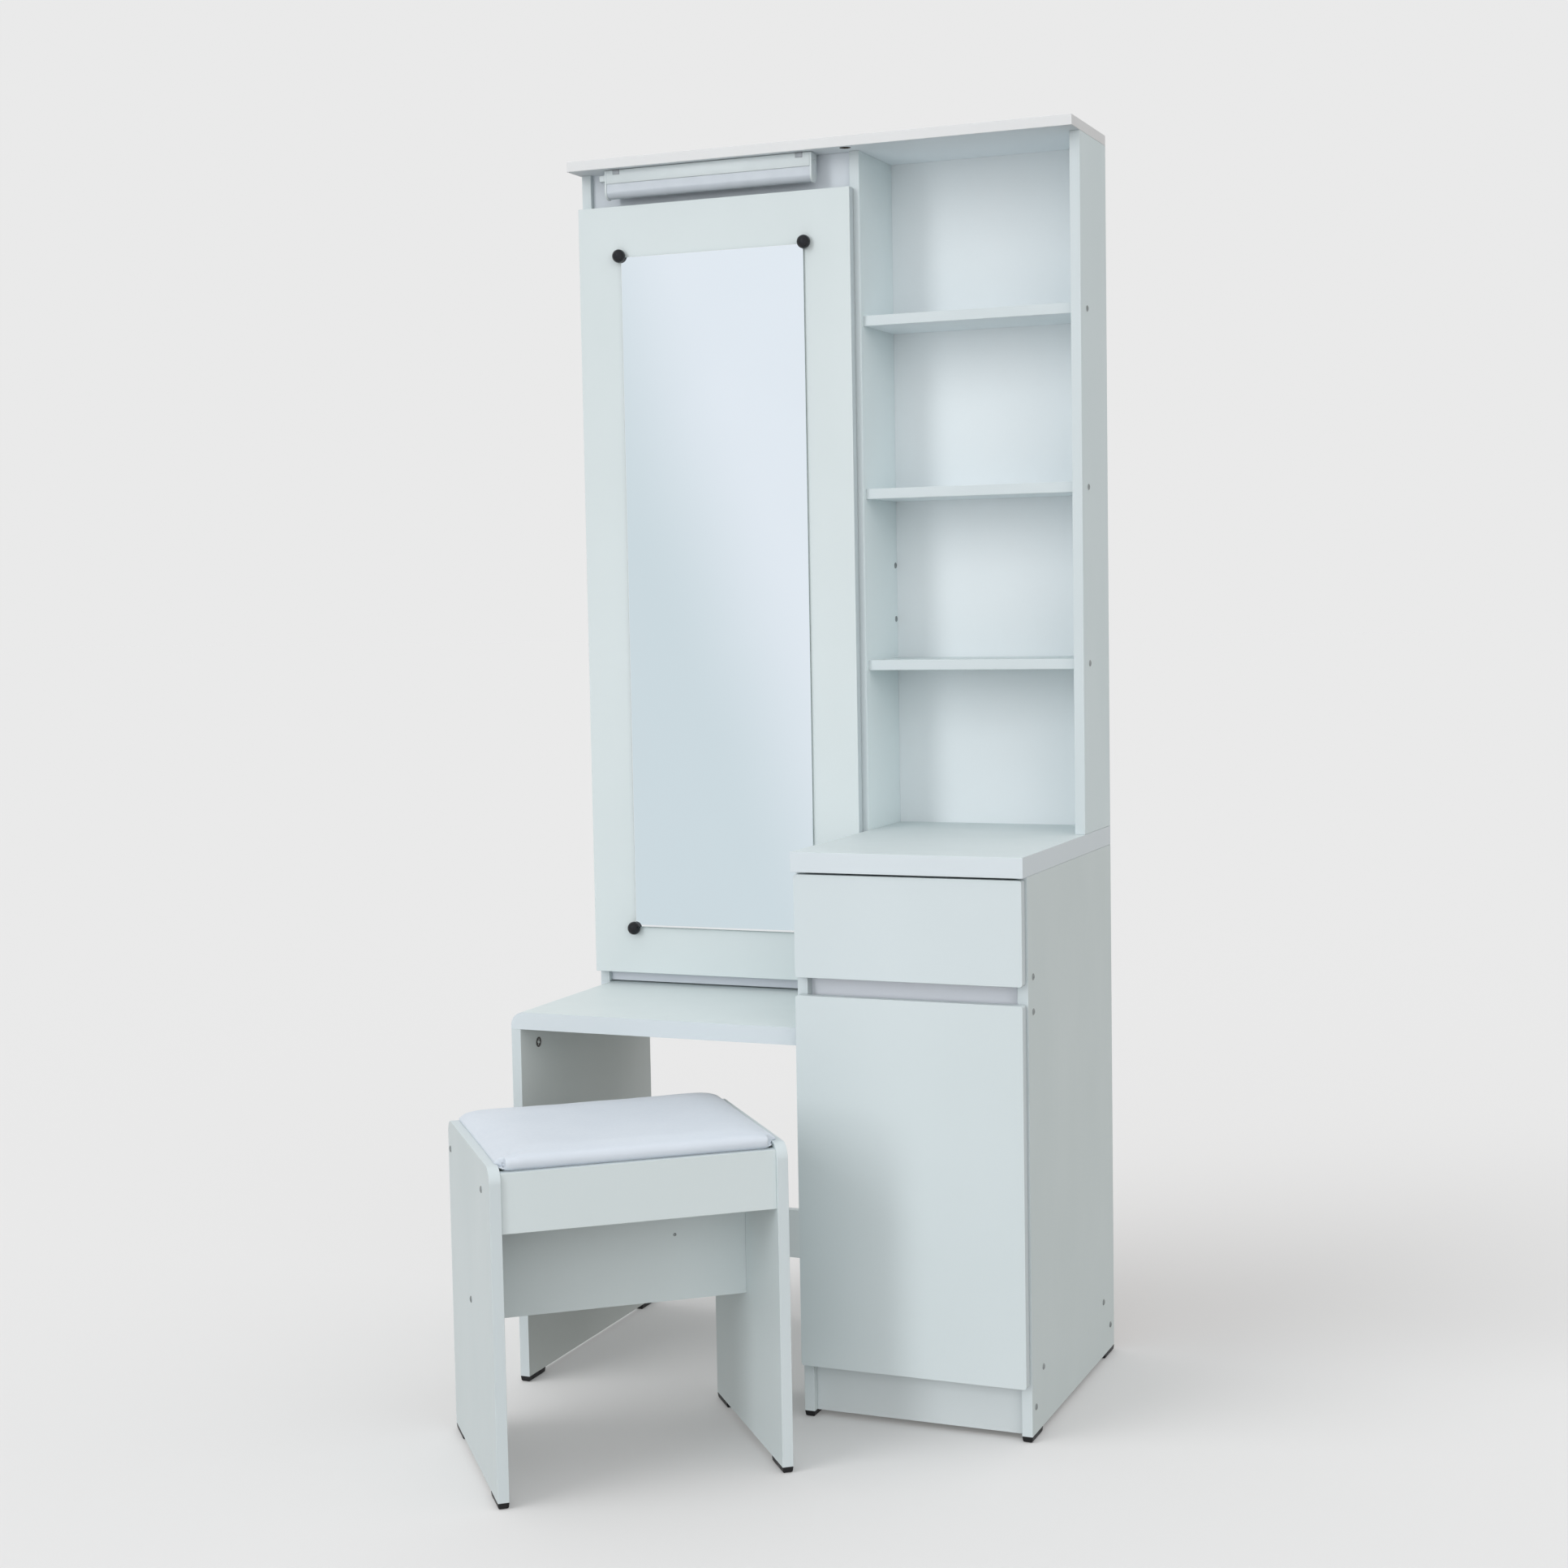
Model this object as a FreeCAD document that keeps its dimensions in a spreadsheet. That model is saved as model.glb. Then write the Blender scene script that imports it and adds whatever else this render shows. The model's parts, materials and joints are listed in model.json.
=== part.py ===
import FreeCAD, Part
import os
import re
import Sketcher

# Dressing table set in white melamine board: a low table beside a tall narrow cabinet, a shallow
# hutch with a mirror door and an open bookcase on top of both, a lamp batten and a padded stool.
# X runs to the viewer's right from the left end of the table, Y runs from the back plane (fronts
# are negative), Z runs up from the floor. The origin of the model is moved by reference_x and
# reference_y to the middle of the whole set on the floor.

SIZES = [
    # frame of the model
    ("reference_x", 387.9, "left end of the table to the origin"),
    ("reference_y", 441, "back plane to the origin"),
    # boards
    ("board", 15, "thickness of the carcass boards"),
    ("back_board", 3, "thickness of the nailed back panels"),
    ("back_margin", 1, "back panels inside the outline of the carcass"),
    ("clearance", 0.3, "running clearance between moving pieces"),
    # table and cabinet
    ("total_height", 1800, "floor to the top of the hutch"),
    ("foot_height", 8, "height of the glides"),
    ("foot_length", 50, "length of a glide along its panel"),
    ("foot_taper", 1, "how far the foot of a glide draws in"),
    ("table_width", 450, "left end of the table to the cabinet"),
    ("table_height", 548, "floor to the top of the table"),
    ("table_thickness", 25, "table top"),
    ("table_end_radius", 20, "rounded upper end of the table top"),
    ("carcass_depth", 430, "table, leg and cabinet sides"),
    ("cabinet_width", 330, "outside width of the cabinet"),
    ("slab_height", 794, "floor to the top of the cabinet"),
    ("slab_thickness", 28, "top of the cabinet"),
    ("slab_depth", 450, "front to back of the cabinet's top"),
    ("plinth_height", 74, "plinth boards"),
    ("plinth_recess", 10, "front plinth behind the side panels"),
    ("rear_plinth_inset", 15, "rear plinth in front of the back"),
    ("knee_rail_bottom", 99, "floor to the knee-hole rail"),
    ("knee_rail_height", 76, "knee-hole rail"),
    ("mid_rail_height", 80, "rail between drawer and door"),
    ("mid_rail_recess", 15, "rail behind the side panels"),
    ("mid_rail_lift", -2, "middle of the finger gap to the middle of that rail"),
    # fronts
    ("front_board", 15, "drawer front, door and mirror panel"),
    ("front_gap", 2, "gap between a front and the carcass"),
    ("front_inset", 3, "fronts inside the cabinet's width, each side"),
    ("front_corner", 4, "corner radius of the fronts"),
    ("slab_gap", 3, "cabinet top to drawer front"),
    ("finger_gap", 25, "drawer front to door"),
    ("drawer_front_height", 142, "drawer front"),
    ("door_bottom", 78, "floor to the door"),
    # drawer box
    ("drawer_side_gap", 2, "drawer side to cabinet side"),
    ("drawer_length", 360, "drawer sides, front to back"),
    ("drawer_height", 90, "drawer sides"),
    ("drawer_lift", 8.5, "drawer box above the mid rail"),
    ("drawer_bottom_lift", 8, "groove of the drawer bottom above the sides' lower edge"),
    ("drawer_bottom_bite", 6, "drawer bottom into its grooves"),
    ("runner_depth", 10, "runner strip out of the cabinet side"),
    ("runner_height", 17, "runner strip"),
    ("runner_length", 340, "runner strip"),
    ("runner_setback", 10, "runner strip behind the cabinet front"),
    ("groove_depth", 9, "groove in the drawer side"),
    # hutch
    ("hutch_depth", 140, "hutch sides and divider"),
    ("top_overhang_front", 40, "top board in front of the hutch sides"),
    ("top_overhang_left", 5, "top board past the left hutch side"),
    ("rail_recess", 8, "hutch rails behind the hutch sides"),
    ("top_rail_height", 70, "rail behind the lamp"),
    ("bottom_rail_height", 60, "rail on the table"),
    ("bottom_rail_gap", 2, "gap under that rail"),
    ("back_rail_height", 120, "rail at mid height of the back"),
    ("back_rail_drop", 21.5, "middle of the hutch to the middle of that rail"),
    ("shelf_setback", 10, "shelves behind the hutch sides"),
    ("cable_hole_radius", 8, "hole for the lamp lead"),
    ("cable_hole_x", 439, "left end of the table to the hole"),
    ("cable_hole_setback", 14, "front edge of the top board to the hole"),
    # mirror door
    ("mirror_inset", 1, "mirror panel inside the hutch's left face"),
    ("mirror_panel_lift", 19, "table to mirror panel"),
    ("mirror_panel_drop", 53, "top board to mirror panel"),
    ("divider_reveal", 9, "divider edge left bare by the mirror panel"),
    ("glass_side", 72, "side edges of the panel to the glass"),
    ("glass_thickness", 4, "mirror glass"),
    ("glass_lift", 72, "lower edge of the panel to the glass"),
    ("glass_drop", 77, "upper edge of the panel to the glass"),
    ("knob_radius", 10, "mirror knob"),
    ("knob_band", 4, "straight band of a mirror knob"),
    ("knob_dome", 7, "dome of a mirror knob"),
    ("knob_offset", 2, "knob axis outside the glass, each way"),
    ("knob_shank_radius", 1.7, "screw of a mirror knob"),
    ("knob_bite", 10, "screw of a mirror knob in the panel"),
    ("glass_play", 0.2, "knob head in front of the glass"),
    # concealed hinges
    ("cup_radius", 17.5, "cup hole in a front"),
    ("cup_depth", 11.5, "cup hole in a front"),
    ("cup_edge", 22, "cup axis to the edge of the front"),
    ("cup_play", 0.1, "cup inside its hole"),
    ("cup_wall", 1.4, "sheet of the cup"),
    ("flange_radius", 10, "rounded ends of the cup flange"),
    ("flange_reach", 22.5, "cup axis to the end's centre"),
    ("flange_sheet", 1.5, "sheet of the cup flange"),
    ("plate_sheet", 3.5, "hinge plate on the side panel"),
    ("plate_reach", 16, "hinge plate screws above and below the arm"),
    ("plate_radius", 8, "rounded ends of the hinge plate"),
    ("plate_setback", 37, "front edge of the side panel to the plate's screws"),
    ("arm_thickness", 12, "hinge arm"),
    ("arm_width", 16, "hinge arm"),
    ("arm_length", 66, "hinge arm behind the front edge"),
    ("nose_thickness", 9, "hinge arm inside the cup"),
    ("nose_width", 10, "hinge arm inside the cup"),
    ("nose_reach", 4, "hinge arm inside the cup"),
    ("door_hinge_margin", 95, "hinge to the end of the door"),
    ("mirror_hinge_margin", 110, "hinge to the end of the mirror panel"),
    # lamp
    ("lamp_left", 52, "left end of the table to the lamp"),
    ("lamp_length", 335, "lamp with its end caps"),
    ("lamp_setback", 12, "front edge of the top board to the lamp"),
    ("lamp_depth", 22, "lamp body"),
    ("lamp_body_height", 20, "lamp body"),
    ("lamp_wall", 1.5, "wall of the lamp body"),
    ("lamp_cap", 3, "end cap of the lamp"),
    ("diffuser_radius", 9.5, "half-round of the diffuser"),
    ("diffuser_side", 12, "straight side of the diffuser"),
    ("diffuser_wall", 1.2, "wall of the diffuser"),
    ("led_width", 12, "light strip"),
    ("led_thickness", 1.6, "light strip"),
    ("socket_depth", 1.5, "socket in the right end cap"),
    ("socket_width", 8, "socket in the right end cap"),
    ("socket_height", 5, "socket in the right end cap"),
    ("clip_sheet", 0.8, "spring clip of the lamp"),
    ("clip_length", 11, "spring clip of the lamp"),
    ("clip_leg", 7, "leg of a spring clip"),
    ("clip_margin", 14, "end of the lamp to a clip"),
    ("connector_length", 11, "link plug at the left end of the lamp"),
    ("connector_width", 12, "link plug at the left end of the lamp"),
    ("connector_height", 9, "link plug at the left end of the lamp"),
    # fittings
    ("screw_radius", 3, "shank of a board screw"),
    ("screw_length", 40, "shank of a board screw"),
    ("screw_head_radius", 4.5, "head of a board screw"),
    ("screw_head", 0.8, "head of a board screw, proud of the board"),
    ("cam_radius", 7.5, "cam fitting in the leg"),
    ("cam_depth", 10.5, "cam fitting in the leg"),
    ("cam_drop", 28, "table top to the cam's axis"),
    ("fixing_front", 54, "front edge to a row of fixings"),
    ("fixing_back", 60, "back plane to a row of fixings"),
    ("mid_rail_fixing", 23.5, "middle of the mid rail to its screws"),
    ("back_rail_fixing", 40.5, "middle of the back rail to its screws"),
    ("shelf_fixing", 107, "back plane to the shelf screws"),
    # stool
    ("stool_x", 265.2, "left end of the table to the middle of the stool"),
    ("stool_y", -637.6, "back plane to the middle of the stool"),
    ("stool_angle", 39.4, "degrees that the stool is turned"),
    ("stool_width", 390, "outside the side panels"),
    ("stool_depth", 320, "side panels"),
    ("stool_height", 436, "floor to the top of the side panels"),
    ("stool_corner", 21, "upper corners of the side panels"),
    ("apron_top", 428.5, "floor to the top of the aprons"),
    ("apron_height", 78, "aprons"),
    ("apron_recess", 4.5, "front apron behind the front of the side panels"),
    ("rear_apron_centre", 142, "middle of the stool to the middle of the rear apron"),
    ("bearer_centre", -100, "middle of the stool to the middle of the seat bearer"),
    ("bearer_height", 50, "seat bearer"),
    ("stretcher_bottom", 198, "floor to the stretcher"),
    ("stretcher_height", 122, "stretcher"),
    ("stretcher_front", -4, "middle of the stool to the stretcher's front face"),
    ("stretcher_fixing", 28, "lower edge of the stretcher to its screws"),
    ("seat_fixing", 31.5, "top of the aprons down to their screws"),
    ("stretcher_peg_x", 81, "middle of the stool to the peg in the stretcher"),
    ("stretcher_peg_height", 90, "lower edge of the stretcher to that peg"),
    ("peg_radius", 2.2, "peg in the stretcher"),
    ("seat_board", 9, "board inside the cushion"),
    ("seat_board_inset", 5, "edge of the cushion to that board"),
    ("cushion_height", 21.5, "cushion above the aprons"),
    ("cushion_lap", 6, "cushion over the tops of the side panels"),
    ("cushion_play", 1.2, "cushion to the side panels"),
    ("cushion_setback", 9, "front of the side panels to the cushion"),
    ("cushion_draw", 2.5, "how far the cushion's sides draw in"),
    ("cushion_corner", 13, "corner radius of the cushion in plan"),
]

doc = FreeCAD.newDocument("dressing_table")
sheet = doc.addObject("Spreadsheet::Sheet", "Sizes")
for row, (alias, number, note) in enumerate(SIZES, start=1):
    sheet.set(f"A{row}", note)
    sheet.set(f"B{row}", str(number))
    sheet.setAlias(f"B{row}", alias)
doc.recompute()

ALIASES = {alias for alias, number, note in SIZES}
NODES = []
UP = FreeCAD.Vector(0, 0, 1)
ALONG_X = FreeCAD.Rotation(FreeCAD.Vector(0, 1, 0), 90)
AGAINST_X = FreeCAD.Rotation(FreeCAD.Vector(0, 1, 0), -90)
TO_FRONT = FreeCAD.Rotation(FreeCAD.Vector(1, 0, 0), 90)

# Heights and planes that several pieces share, as formulas of the sizes.
TOP_UNDERSIDE = "(total_height - board)"
TABLE_UNDERSIDE = "(table_height - table_thickness)"
SLAB_UNDERSIDE = "(slab_height - slab_thickness)"
CABINET_RIGHT = "(table_width + cabinet_width)"
CABINET_INSIDE = "(cabinet_width - 2 * board)"
HUTCH_CLEAR_WIDTH = "(table_width - 2 * board)"
BOTTOM_PANEL = "(foot_height + plinth_height)"
FRONT_PLANE = "(-carcass_depth - front_gap - front_board)"
DRAWER_FRONT_BOTTOM = f"({SLAB_UNDERSIDE} - slab_gap - drawer_front_height)"
DOOR_HEIGHT = f"({DRAWER_FRONT_BOTTOM} - finger_gap - door_bottom)"
FRONT_WIDTH = "(cabinet_width - 2 * front_inset)"
MID_RAIL_CENTRE = f"({DRAWER_FRONT_BOTTOM} - finger_gap / 2 + mid_rail_lift)"
MID_RAIL_BOTTOM = f"({MID_RAIL_CENTRE} - mid_rail_height / 2)"
DRAWER_BOTTOM = f"({MID_RAIL_BOTTOM} + mid_rail_height + drawer_lift)"
DRAWER_LEFT = "(table_width + board + drawer_side_gap)"
DRAWER_WIDTH = f"({CABINET_INSIDE} - 2 * drawer_side_gap)"
DRAWER_FRONT_EDGE = "(-carcass_depth - front_gap)"
RUNNER_BOTTOM = f"({DRAWER_BOTTOM} + drawer_height / 2 - runner_height / 2)"
MIRROR_BOTTOM = "(table_height + mirror_panel_lift)"
MIRROR_HEIGHT = f"({TOP_UNDERSIDE} - mirror_panel_drop - {MIRROR_BOTTOM})"
MIRROR_WIDTH = "(table_width - divider_reveal - mirror_inset)"
MIRROR_BACK = "(-hutch_depth - front_gap)"
MIRROR_FRONT = f"({MIRROR_BACK} - front_board)"
GLASS_LEFT = "(mirror_inset + glass_side)"
GLASS_WIDTH = f"({MIRROR_WIDTH} - 2 * glass_side)"
GLASS_BOTTOM = f"({MIRROR_BOTTOM} + glass_lift)"
GLASS_HEIGHT = f"({MIRROR_HEIGHT} - glass_lift - glass_drop)"
TOP_FRONT = "(-hutch_depth - top_overhang_front)"
BACK_RAIL_CENTRE = f"((table_height + {TOP_UNDERSIDE}) / 2 - back_rail_drop)"
SHELF_BAY = f"(({TOP_UNDERSIDE} - slab_height - 3 * board) / 4)"
LAMP_FRONT = f"({TOP_FRONT} + lamp_setback)"
LAMP_TOP = f"({TOP_UNDERSIDE} - clip_sheet)"
LAMP_BOTTOM = f"({LAMP_TOP} - lamp_body_height)"
LAMP_RIGHT = "(lamp_left + lamp_length)"
STOOL_INSIDE = "(stool_width - 2 * board)"


def size(alias):
    return float(sheet.get(alias))


def bind(thing, prop, formula):
    def full_name(word):
        return f"Sizes.{word.group()}" if word.group() in ALIASES else word.group()
    thing.setExpression(prop, re.sub(r"[a-z_]+", full_name, str(formula)))


def place(thing, x, y, z):
    bind(thing, "Placement.Base.x", f"({x}) - reference_x")
    bind(thing, "Placement.Base.y", f"({y}) + reference_y")
    bind(thing, "Placement.Base.z", z)


def place_in_stool(thing, x, y, z):
    for axis, formula in zip("xyz", (x, y, z)):
        bind(thing, f"Placement.Base.{axis}", formula)


def node(thing, label):
    thing.Label = label
    NODES.append(thing)
    return thing


def box(start, extent, put=place):
    solid = doc.addObject("Part::Box", "box")
    for prop, formula in zip(("Length", "Width", "Height"), extent):
        bind(solid, prop, formula)
    put(solid, *start)
    return solid


def rod(start, rotation, radius, length, put=place):
    solid = doc.addObject("Part::Cylinder", "rod")
    bind(solid, "Radius", radius)
    bind(solid, "Height", length)
    solid.Placement = FreeCAD.Placement(FreeCAD.Vector(), rotation)
    put(solid, *start)
    return solid


def fuse(*solids):
    joined = doc.addObject("Part::MultiFuse", "joined")
    joined.Shapes = list(solids)
    return joined


def cut(base, *tools):
    result = doc.addObject("Part::Cut", "cut")
    result.Base = base
    result.Tool = tools[0] if len(tools) == 1 else group(*tools)
    return result


def group(*solids):
    compound = doc.addObject("Part::Compound", "group")
    compound.Links = list(solids)
    return compound


def board_node(label, start, extent):
    return node(box(start, extent), label)


# A board drawn as a rectangle and padded upwards, with some of its edges rounded. is_round picks
# the edges by the middle of each edge, in the board's own corner frame.
def rounded_board(start, extent, radius, is_round, put=place):
    body = doc.addObject("PartDesign::Body", "body")
    sketch = body.newObject("Sketcher::SketchObject", "outline")
    plane = next(item for item in body.Origin.OriginFeatures if item.Role == "XY_Plane")
    sketch.AttachmentSupport = [(plane, "")]
    sketch.MapMode = "FlatFace"
    corners = [FreeCAD.Vector(x, y, 0) for x, y in ((0, 0), (10, 0), (10, 10), (0, 10))]
    sides = [(corners[index], corners[(index + 1) % 4]) for index in range(4)]
    sketch.addGeometry([Part.LineSegment(*side) for side in sides], False)
    for index in range(4):
        sketch.addConstraint(Sketcher.Constraint("Coincident", index, 2, (index + 1) % 4, 1))
        direction = "Horizontal" if index % 2 == 0 else "Vertical"
        sketch.addConstraint(Sketcher.Constraint(direction, index))
    sketch.addConstraint(Sketcher.Constraint("Coincident", 0, 1, -1, 1))
    for index, name, formula in ((0, "width", extent[0]), (1, "depth", extent[1])):
        kind = "DistanceX" if index == 0 else "DistanceY"
        number = sketch.addConstraint(Sketcher.Constraint(kind, index, 1, index, 2, 10))
        sketch.renameConstraint(number, name)
        bind(sketch, f"Constraints.{name}", formula)
    pad = body.newObject("PartDesign::Pad", "pad")
    pad.Profile = sketch
    bind(pad, "Length", extent[2])
    doc.recompute()
    reach = pad.Shape.BoundBox
    names = []
    for number, edge in enumerate(pad.Shape.Edges, start=1):
        middle = edge.CenterOfMass
        share = (middle.x / reach.XMax, middle.y / reach.YMax, middle.z / reach.ZMax)
        if is_round(*[round(part, 3) for part in share]):
            names.append(f"Edge{number}")
    fillet = body.newObject("PartDesign::Fillet", "rounding")
    fillet.Base = (pad, names)
    bind(fillet, "Radius", radius)
    body.Tip = fillet
    put(body, *start)
    return body


def prism(start, rotation, sides, radius, length, put=place):
    solid = doc.addObject("Part::Prism", "prism")
    solid.Polygon = sides
    bind(solid, "Circumradius", radius)
    bind(solid, "Height", length)
    solid.Placement = FreeCAD.Placement(FreeCAD.Vector(), rotation)
    put(solid, *start)
    return solid


# A screw driven along X: its shank goes into the board from the face at x, its head stays outside.
# The shank is hidden in the boards, so six flats stand for its thread.
def screw(x, y, z, inward, put=place):
    into, out_of = (ALONG_X, AGAINST_X) if inward > 0 else (AGAINST_X, ALONG_X)
    shank = prism((x, y, z), into, 6, "screw_radius", "screw_length", put)
    head = prism((x, y, z), out_of, 20, "screw_head_radius", "screw_head", put)
    return fuse(shank, head)


# A moulded glide, wider at its top, under the end of a panel that is one board thick.
def glide(x, y, put=place):
    foot = doc.addObject("Part::Wedge", "glide")
    foot.Placement = FreeCAD.Placement(FreeCAD.Vector(), TO_FRONT)
    limits = {
        "Xmin": "foot_taper", "Xmax": "board - foot_taper", "X2min": "0", "X2max": "board",
        "Ymin": "0", "Ymax": "foot_height",
        "Zmin": "foot_taper", "Zmax": "foot_length - foot_taper", "Z2min": "0", "Z2max": "foot_length",
    }
    for prop in ("Xmax", "X2max", "Ymax", "Zmax", "Z2max", "Xmin", "X2min", "Ymin", "Zmin", "Z2min"):
        bind(foot, prop, limits[prop])
    put(foot, x, f"{y} + foot_length", "0")
    return foot


# The upper left end of the table top is rounded in front of the hutch and square under it.
def table():
    top_start = ("0", "-carcass_depth", TABLE_UNDERSIDE)
    top = box(top_start, ("table_width", "carcass_depth", "table_thickness"))
    round_length = "carcass_depth - hutch_depth"
    round_z = "table_height - table_end_radius"
    corner = box(("0", "-carcass_depth", round_z), ("table_end_radius", round_length, "table_end_radius"))
    rounding = rod(("table_end_radius", "-hutch_depth", round_z), TO_FRONT, "table_end_radius", round_length)
    node(cut(top, cut(corner, rounding)), "table_top")
    leg_height = f"{TABLE_UNDERSIDE} - foot_height"
    board_node("left_leg", ("0", "-carcass_depth", "foot_height"), ("board", "carcass_depth", leg_height))
    rail_size = ("table_width - board", "board", "knee_rail_height")
    board_node("knee_back_rail", ("board", "-board", "knee_rail_bottom"), rail_size)
    cams = []
    for y in ("-carcass_depth + fixing_front", "-fixing_back"):
        centre = ("board + screw_head", y, f"{TABLE_UNDERSIDE} - cam_drop")
        cams.append(rod(centre, AGAINST_X, "cam_radius", "cam_depth + screw_head"))
    node(group(*cams), "leg_cam_fittings")


def cabinet():
    side_size = ("board", "carcass_depth", f"{SLAB_UNDERSIDE} - foot_height")
    right_x = f"{CABINET_RIGHT} - board"
    for label, x in (("cabinet_left_side", "table_width"), ("cabinet_right_side", right_x)):
        board_node(label, (x, "-carcass_depth", "foot_height"), side_size)
    slab_size = ("cabinet_width", "slab_depth", "slab_thickness")
    board_node("cabinet_slab", ("table_width", "-slab_depth", SLAB_UNDERSIDE), slab_size)
    inner = "table_width + board"
    board_node("cabinet_bottom", (inner, "-carcass_depth", BOTTOM_PANEL),
               (CABINET_INSIDE, "carcass_depth", "board"))
    rail_size = (CABINET_INSIDE, "board", "mid_rail_height")
    board_node("cabinet_mid_rail", (inner, "-carcass_depth + mid_rail_recess", MID_RAIL_BOTTOM), rail_size)
    plinth_size = (CABINET_INSIDE, "board", "plinth_height")
    board_node("plinth_front", (inner, "-carcass_depth + plinth_recess", "foot_height"), plinth_size)
    board_node("plinth_rear", (inner, "-rear_plinth_inset - board", "foot_height"), plinth_size)
    back_height = f"{SLAB_UNDERSIDE} + slab_thickness / 2 - foot_height"
    board_node("cabinet_back", ("table_width + back_margin", "0", "foot_height"),
               ("cabinet_width - 2 * back_margin", "back_board", back_height))


def cabinet_fixings():
    mid = "board / 2"
    rail_y = f"-carcass_depth + mid_rail_recess + {mid}"
    plinth_middle = "foot_height + plinth_height / 2"
    places = [
        (rail_y, f"{MID_RAIL_CENTRE} + mid_rail_fixing"),
        (rail_y, f"{MID_RAIL_CENTRE} - mid_rail_fixing"),
        ("-carcass_depth + fixing_front", f"{BOTTOM_PANEL} + {mid}"),
        ("-fixing_back", f"{BOTTOM_PANEL} + {mid}"),
        (f"-carcass_depth + plinth_recess + {mid}", plinth_middle),
        (f"-rear_plinth_inset - {mid}", plinth_middle),
    ]
    screws = []
    for y, z in places:
        screws.append(screw("table_width", y, z, 1))
        screws.append(screw(CABINET_RIGHT, y, z, -1))
    # The table top and the knee-hole rail are held by screws from inside the cabinet.
    for y, z in (("-carcass_depth + fixing_front", f"{TABLE_UNDERSIDE} + table_thickness / 2"),
                 ("-fixing_back", f"{TABLE_UNDERSIDE} + table_thickness / 2"),
                 (f"-{mid}", "knee_rail_bottom + knee_rail_height / 2")):
        screws.append(screw("table_width + board", y, z, -1))
    screws.append(screw("0", f"-{mid}", "knee_rail_bottom + knee_rail_height / 2", 1))
    node(group(*screws), "cabinet_screws")
    glides = []
    for x in ("0", "table_width", f"{CABINET_RIGHT} - board"):
        for y in ("-carcass_depth", "-foot_length"):
            glides.append(glide(x, y))
    node(group(*glides), "floor_glides")


def drawer():
    front_size = (FRONT_WIDTH, "front_board", "drawer_front_height")
    front_start = ("table_width + front_inset", FRONT_PLANE, DRAWER_FRONT_BOTTOM)
    is_corner = lambda across, along, up: along == 0.5
    node(rounded_board(front_start, front_size, "front_corner", is_corner), "drawer_front")
    right_side = f"{DRAWER_LEFT} + {DRAWER_WIDTH} - board"
    bottom_z = f"{DRAWER_BOTTOM} + drawer_bottom_lift"
    groove_z = f"{RUNNER_BOTTOM} - clearance"
    groove_size = ("groove_depth", "drawer_length", "runner_height + 2 * clearance")
    bottom_groove = ("drawer_bottom_bite", "drawer_length", "back_board")
    runners = []
    for label, x, outer, inner in (
            ("drawer_left_side", DRAWER_LEFT, DRAWER_LEFT, f"{DRAWER_LEFT} + board - drawer_bottom_bite"),
            ("drawer_right_side", right_side, f"{right_side} + board - groove_depth", right_side)):
        side = box((x, DRAWER_FRONT_EDGE, DRAWER_BOTTOM), ("board", "drawer_length", "drawer_height"))
        runner_groove = box((outer, DRAWER_FRONT_EDGE, groove_z), groove_size)
        panel_groove = box((inner, DRAWER_FRONT_EDGE, bottom_z), bottom_groove)
        node(cut(side, runner_groove, panel_groove), label)
    between = f"{DRAWER_WIDTH} - 2 * board"
    back_y = f"{DRAWER_FRONT_EDGE} + drawer_length - board"
    back_z = f"{bottom_z} + back_board"
    back_height = "drawer_height - drawer_bottom_lift - back_board"
    board_node("drawer_back", (f"{DRAWER_LEFT} + board", back_y, back_z), (between, "board", back_height))
    bottom_size = (f"{between} + 2 * drawer_bottom_bite", "drawer_length", "back_board")
    bottom_x = f"{DRAWER_LEFT} + board - drawer_bottom_bite"
    board_node("drawer_bottom", (bottom_x, DRAWER_FRONT_EDGE, bottom_z), bottom_size)
    strip_size = ("runner_depth", "runner_length", "runner_height")
    for x in ("table_width + board", f"{CABINET_RIGHT} - board - runner_depth"):
        runners.append(box((x, "-carcass_depth + runner_setback", RUNNER_BOTTOM), strip_size))
    node(group(*runners), "drawer_runners")


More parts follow.
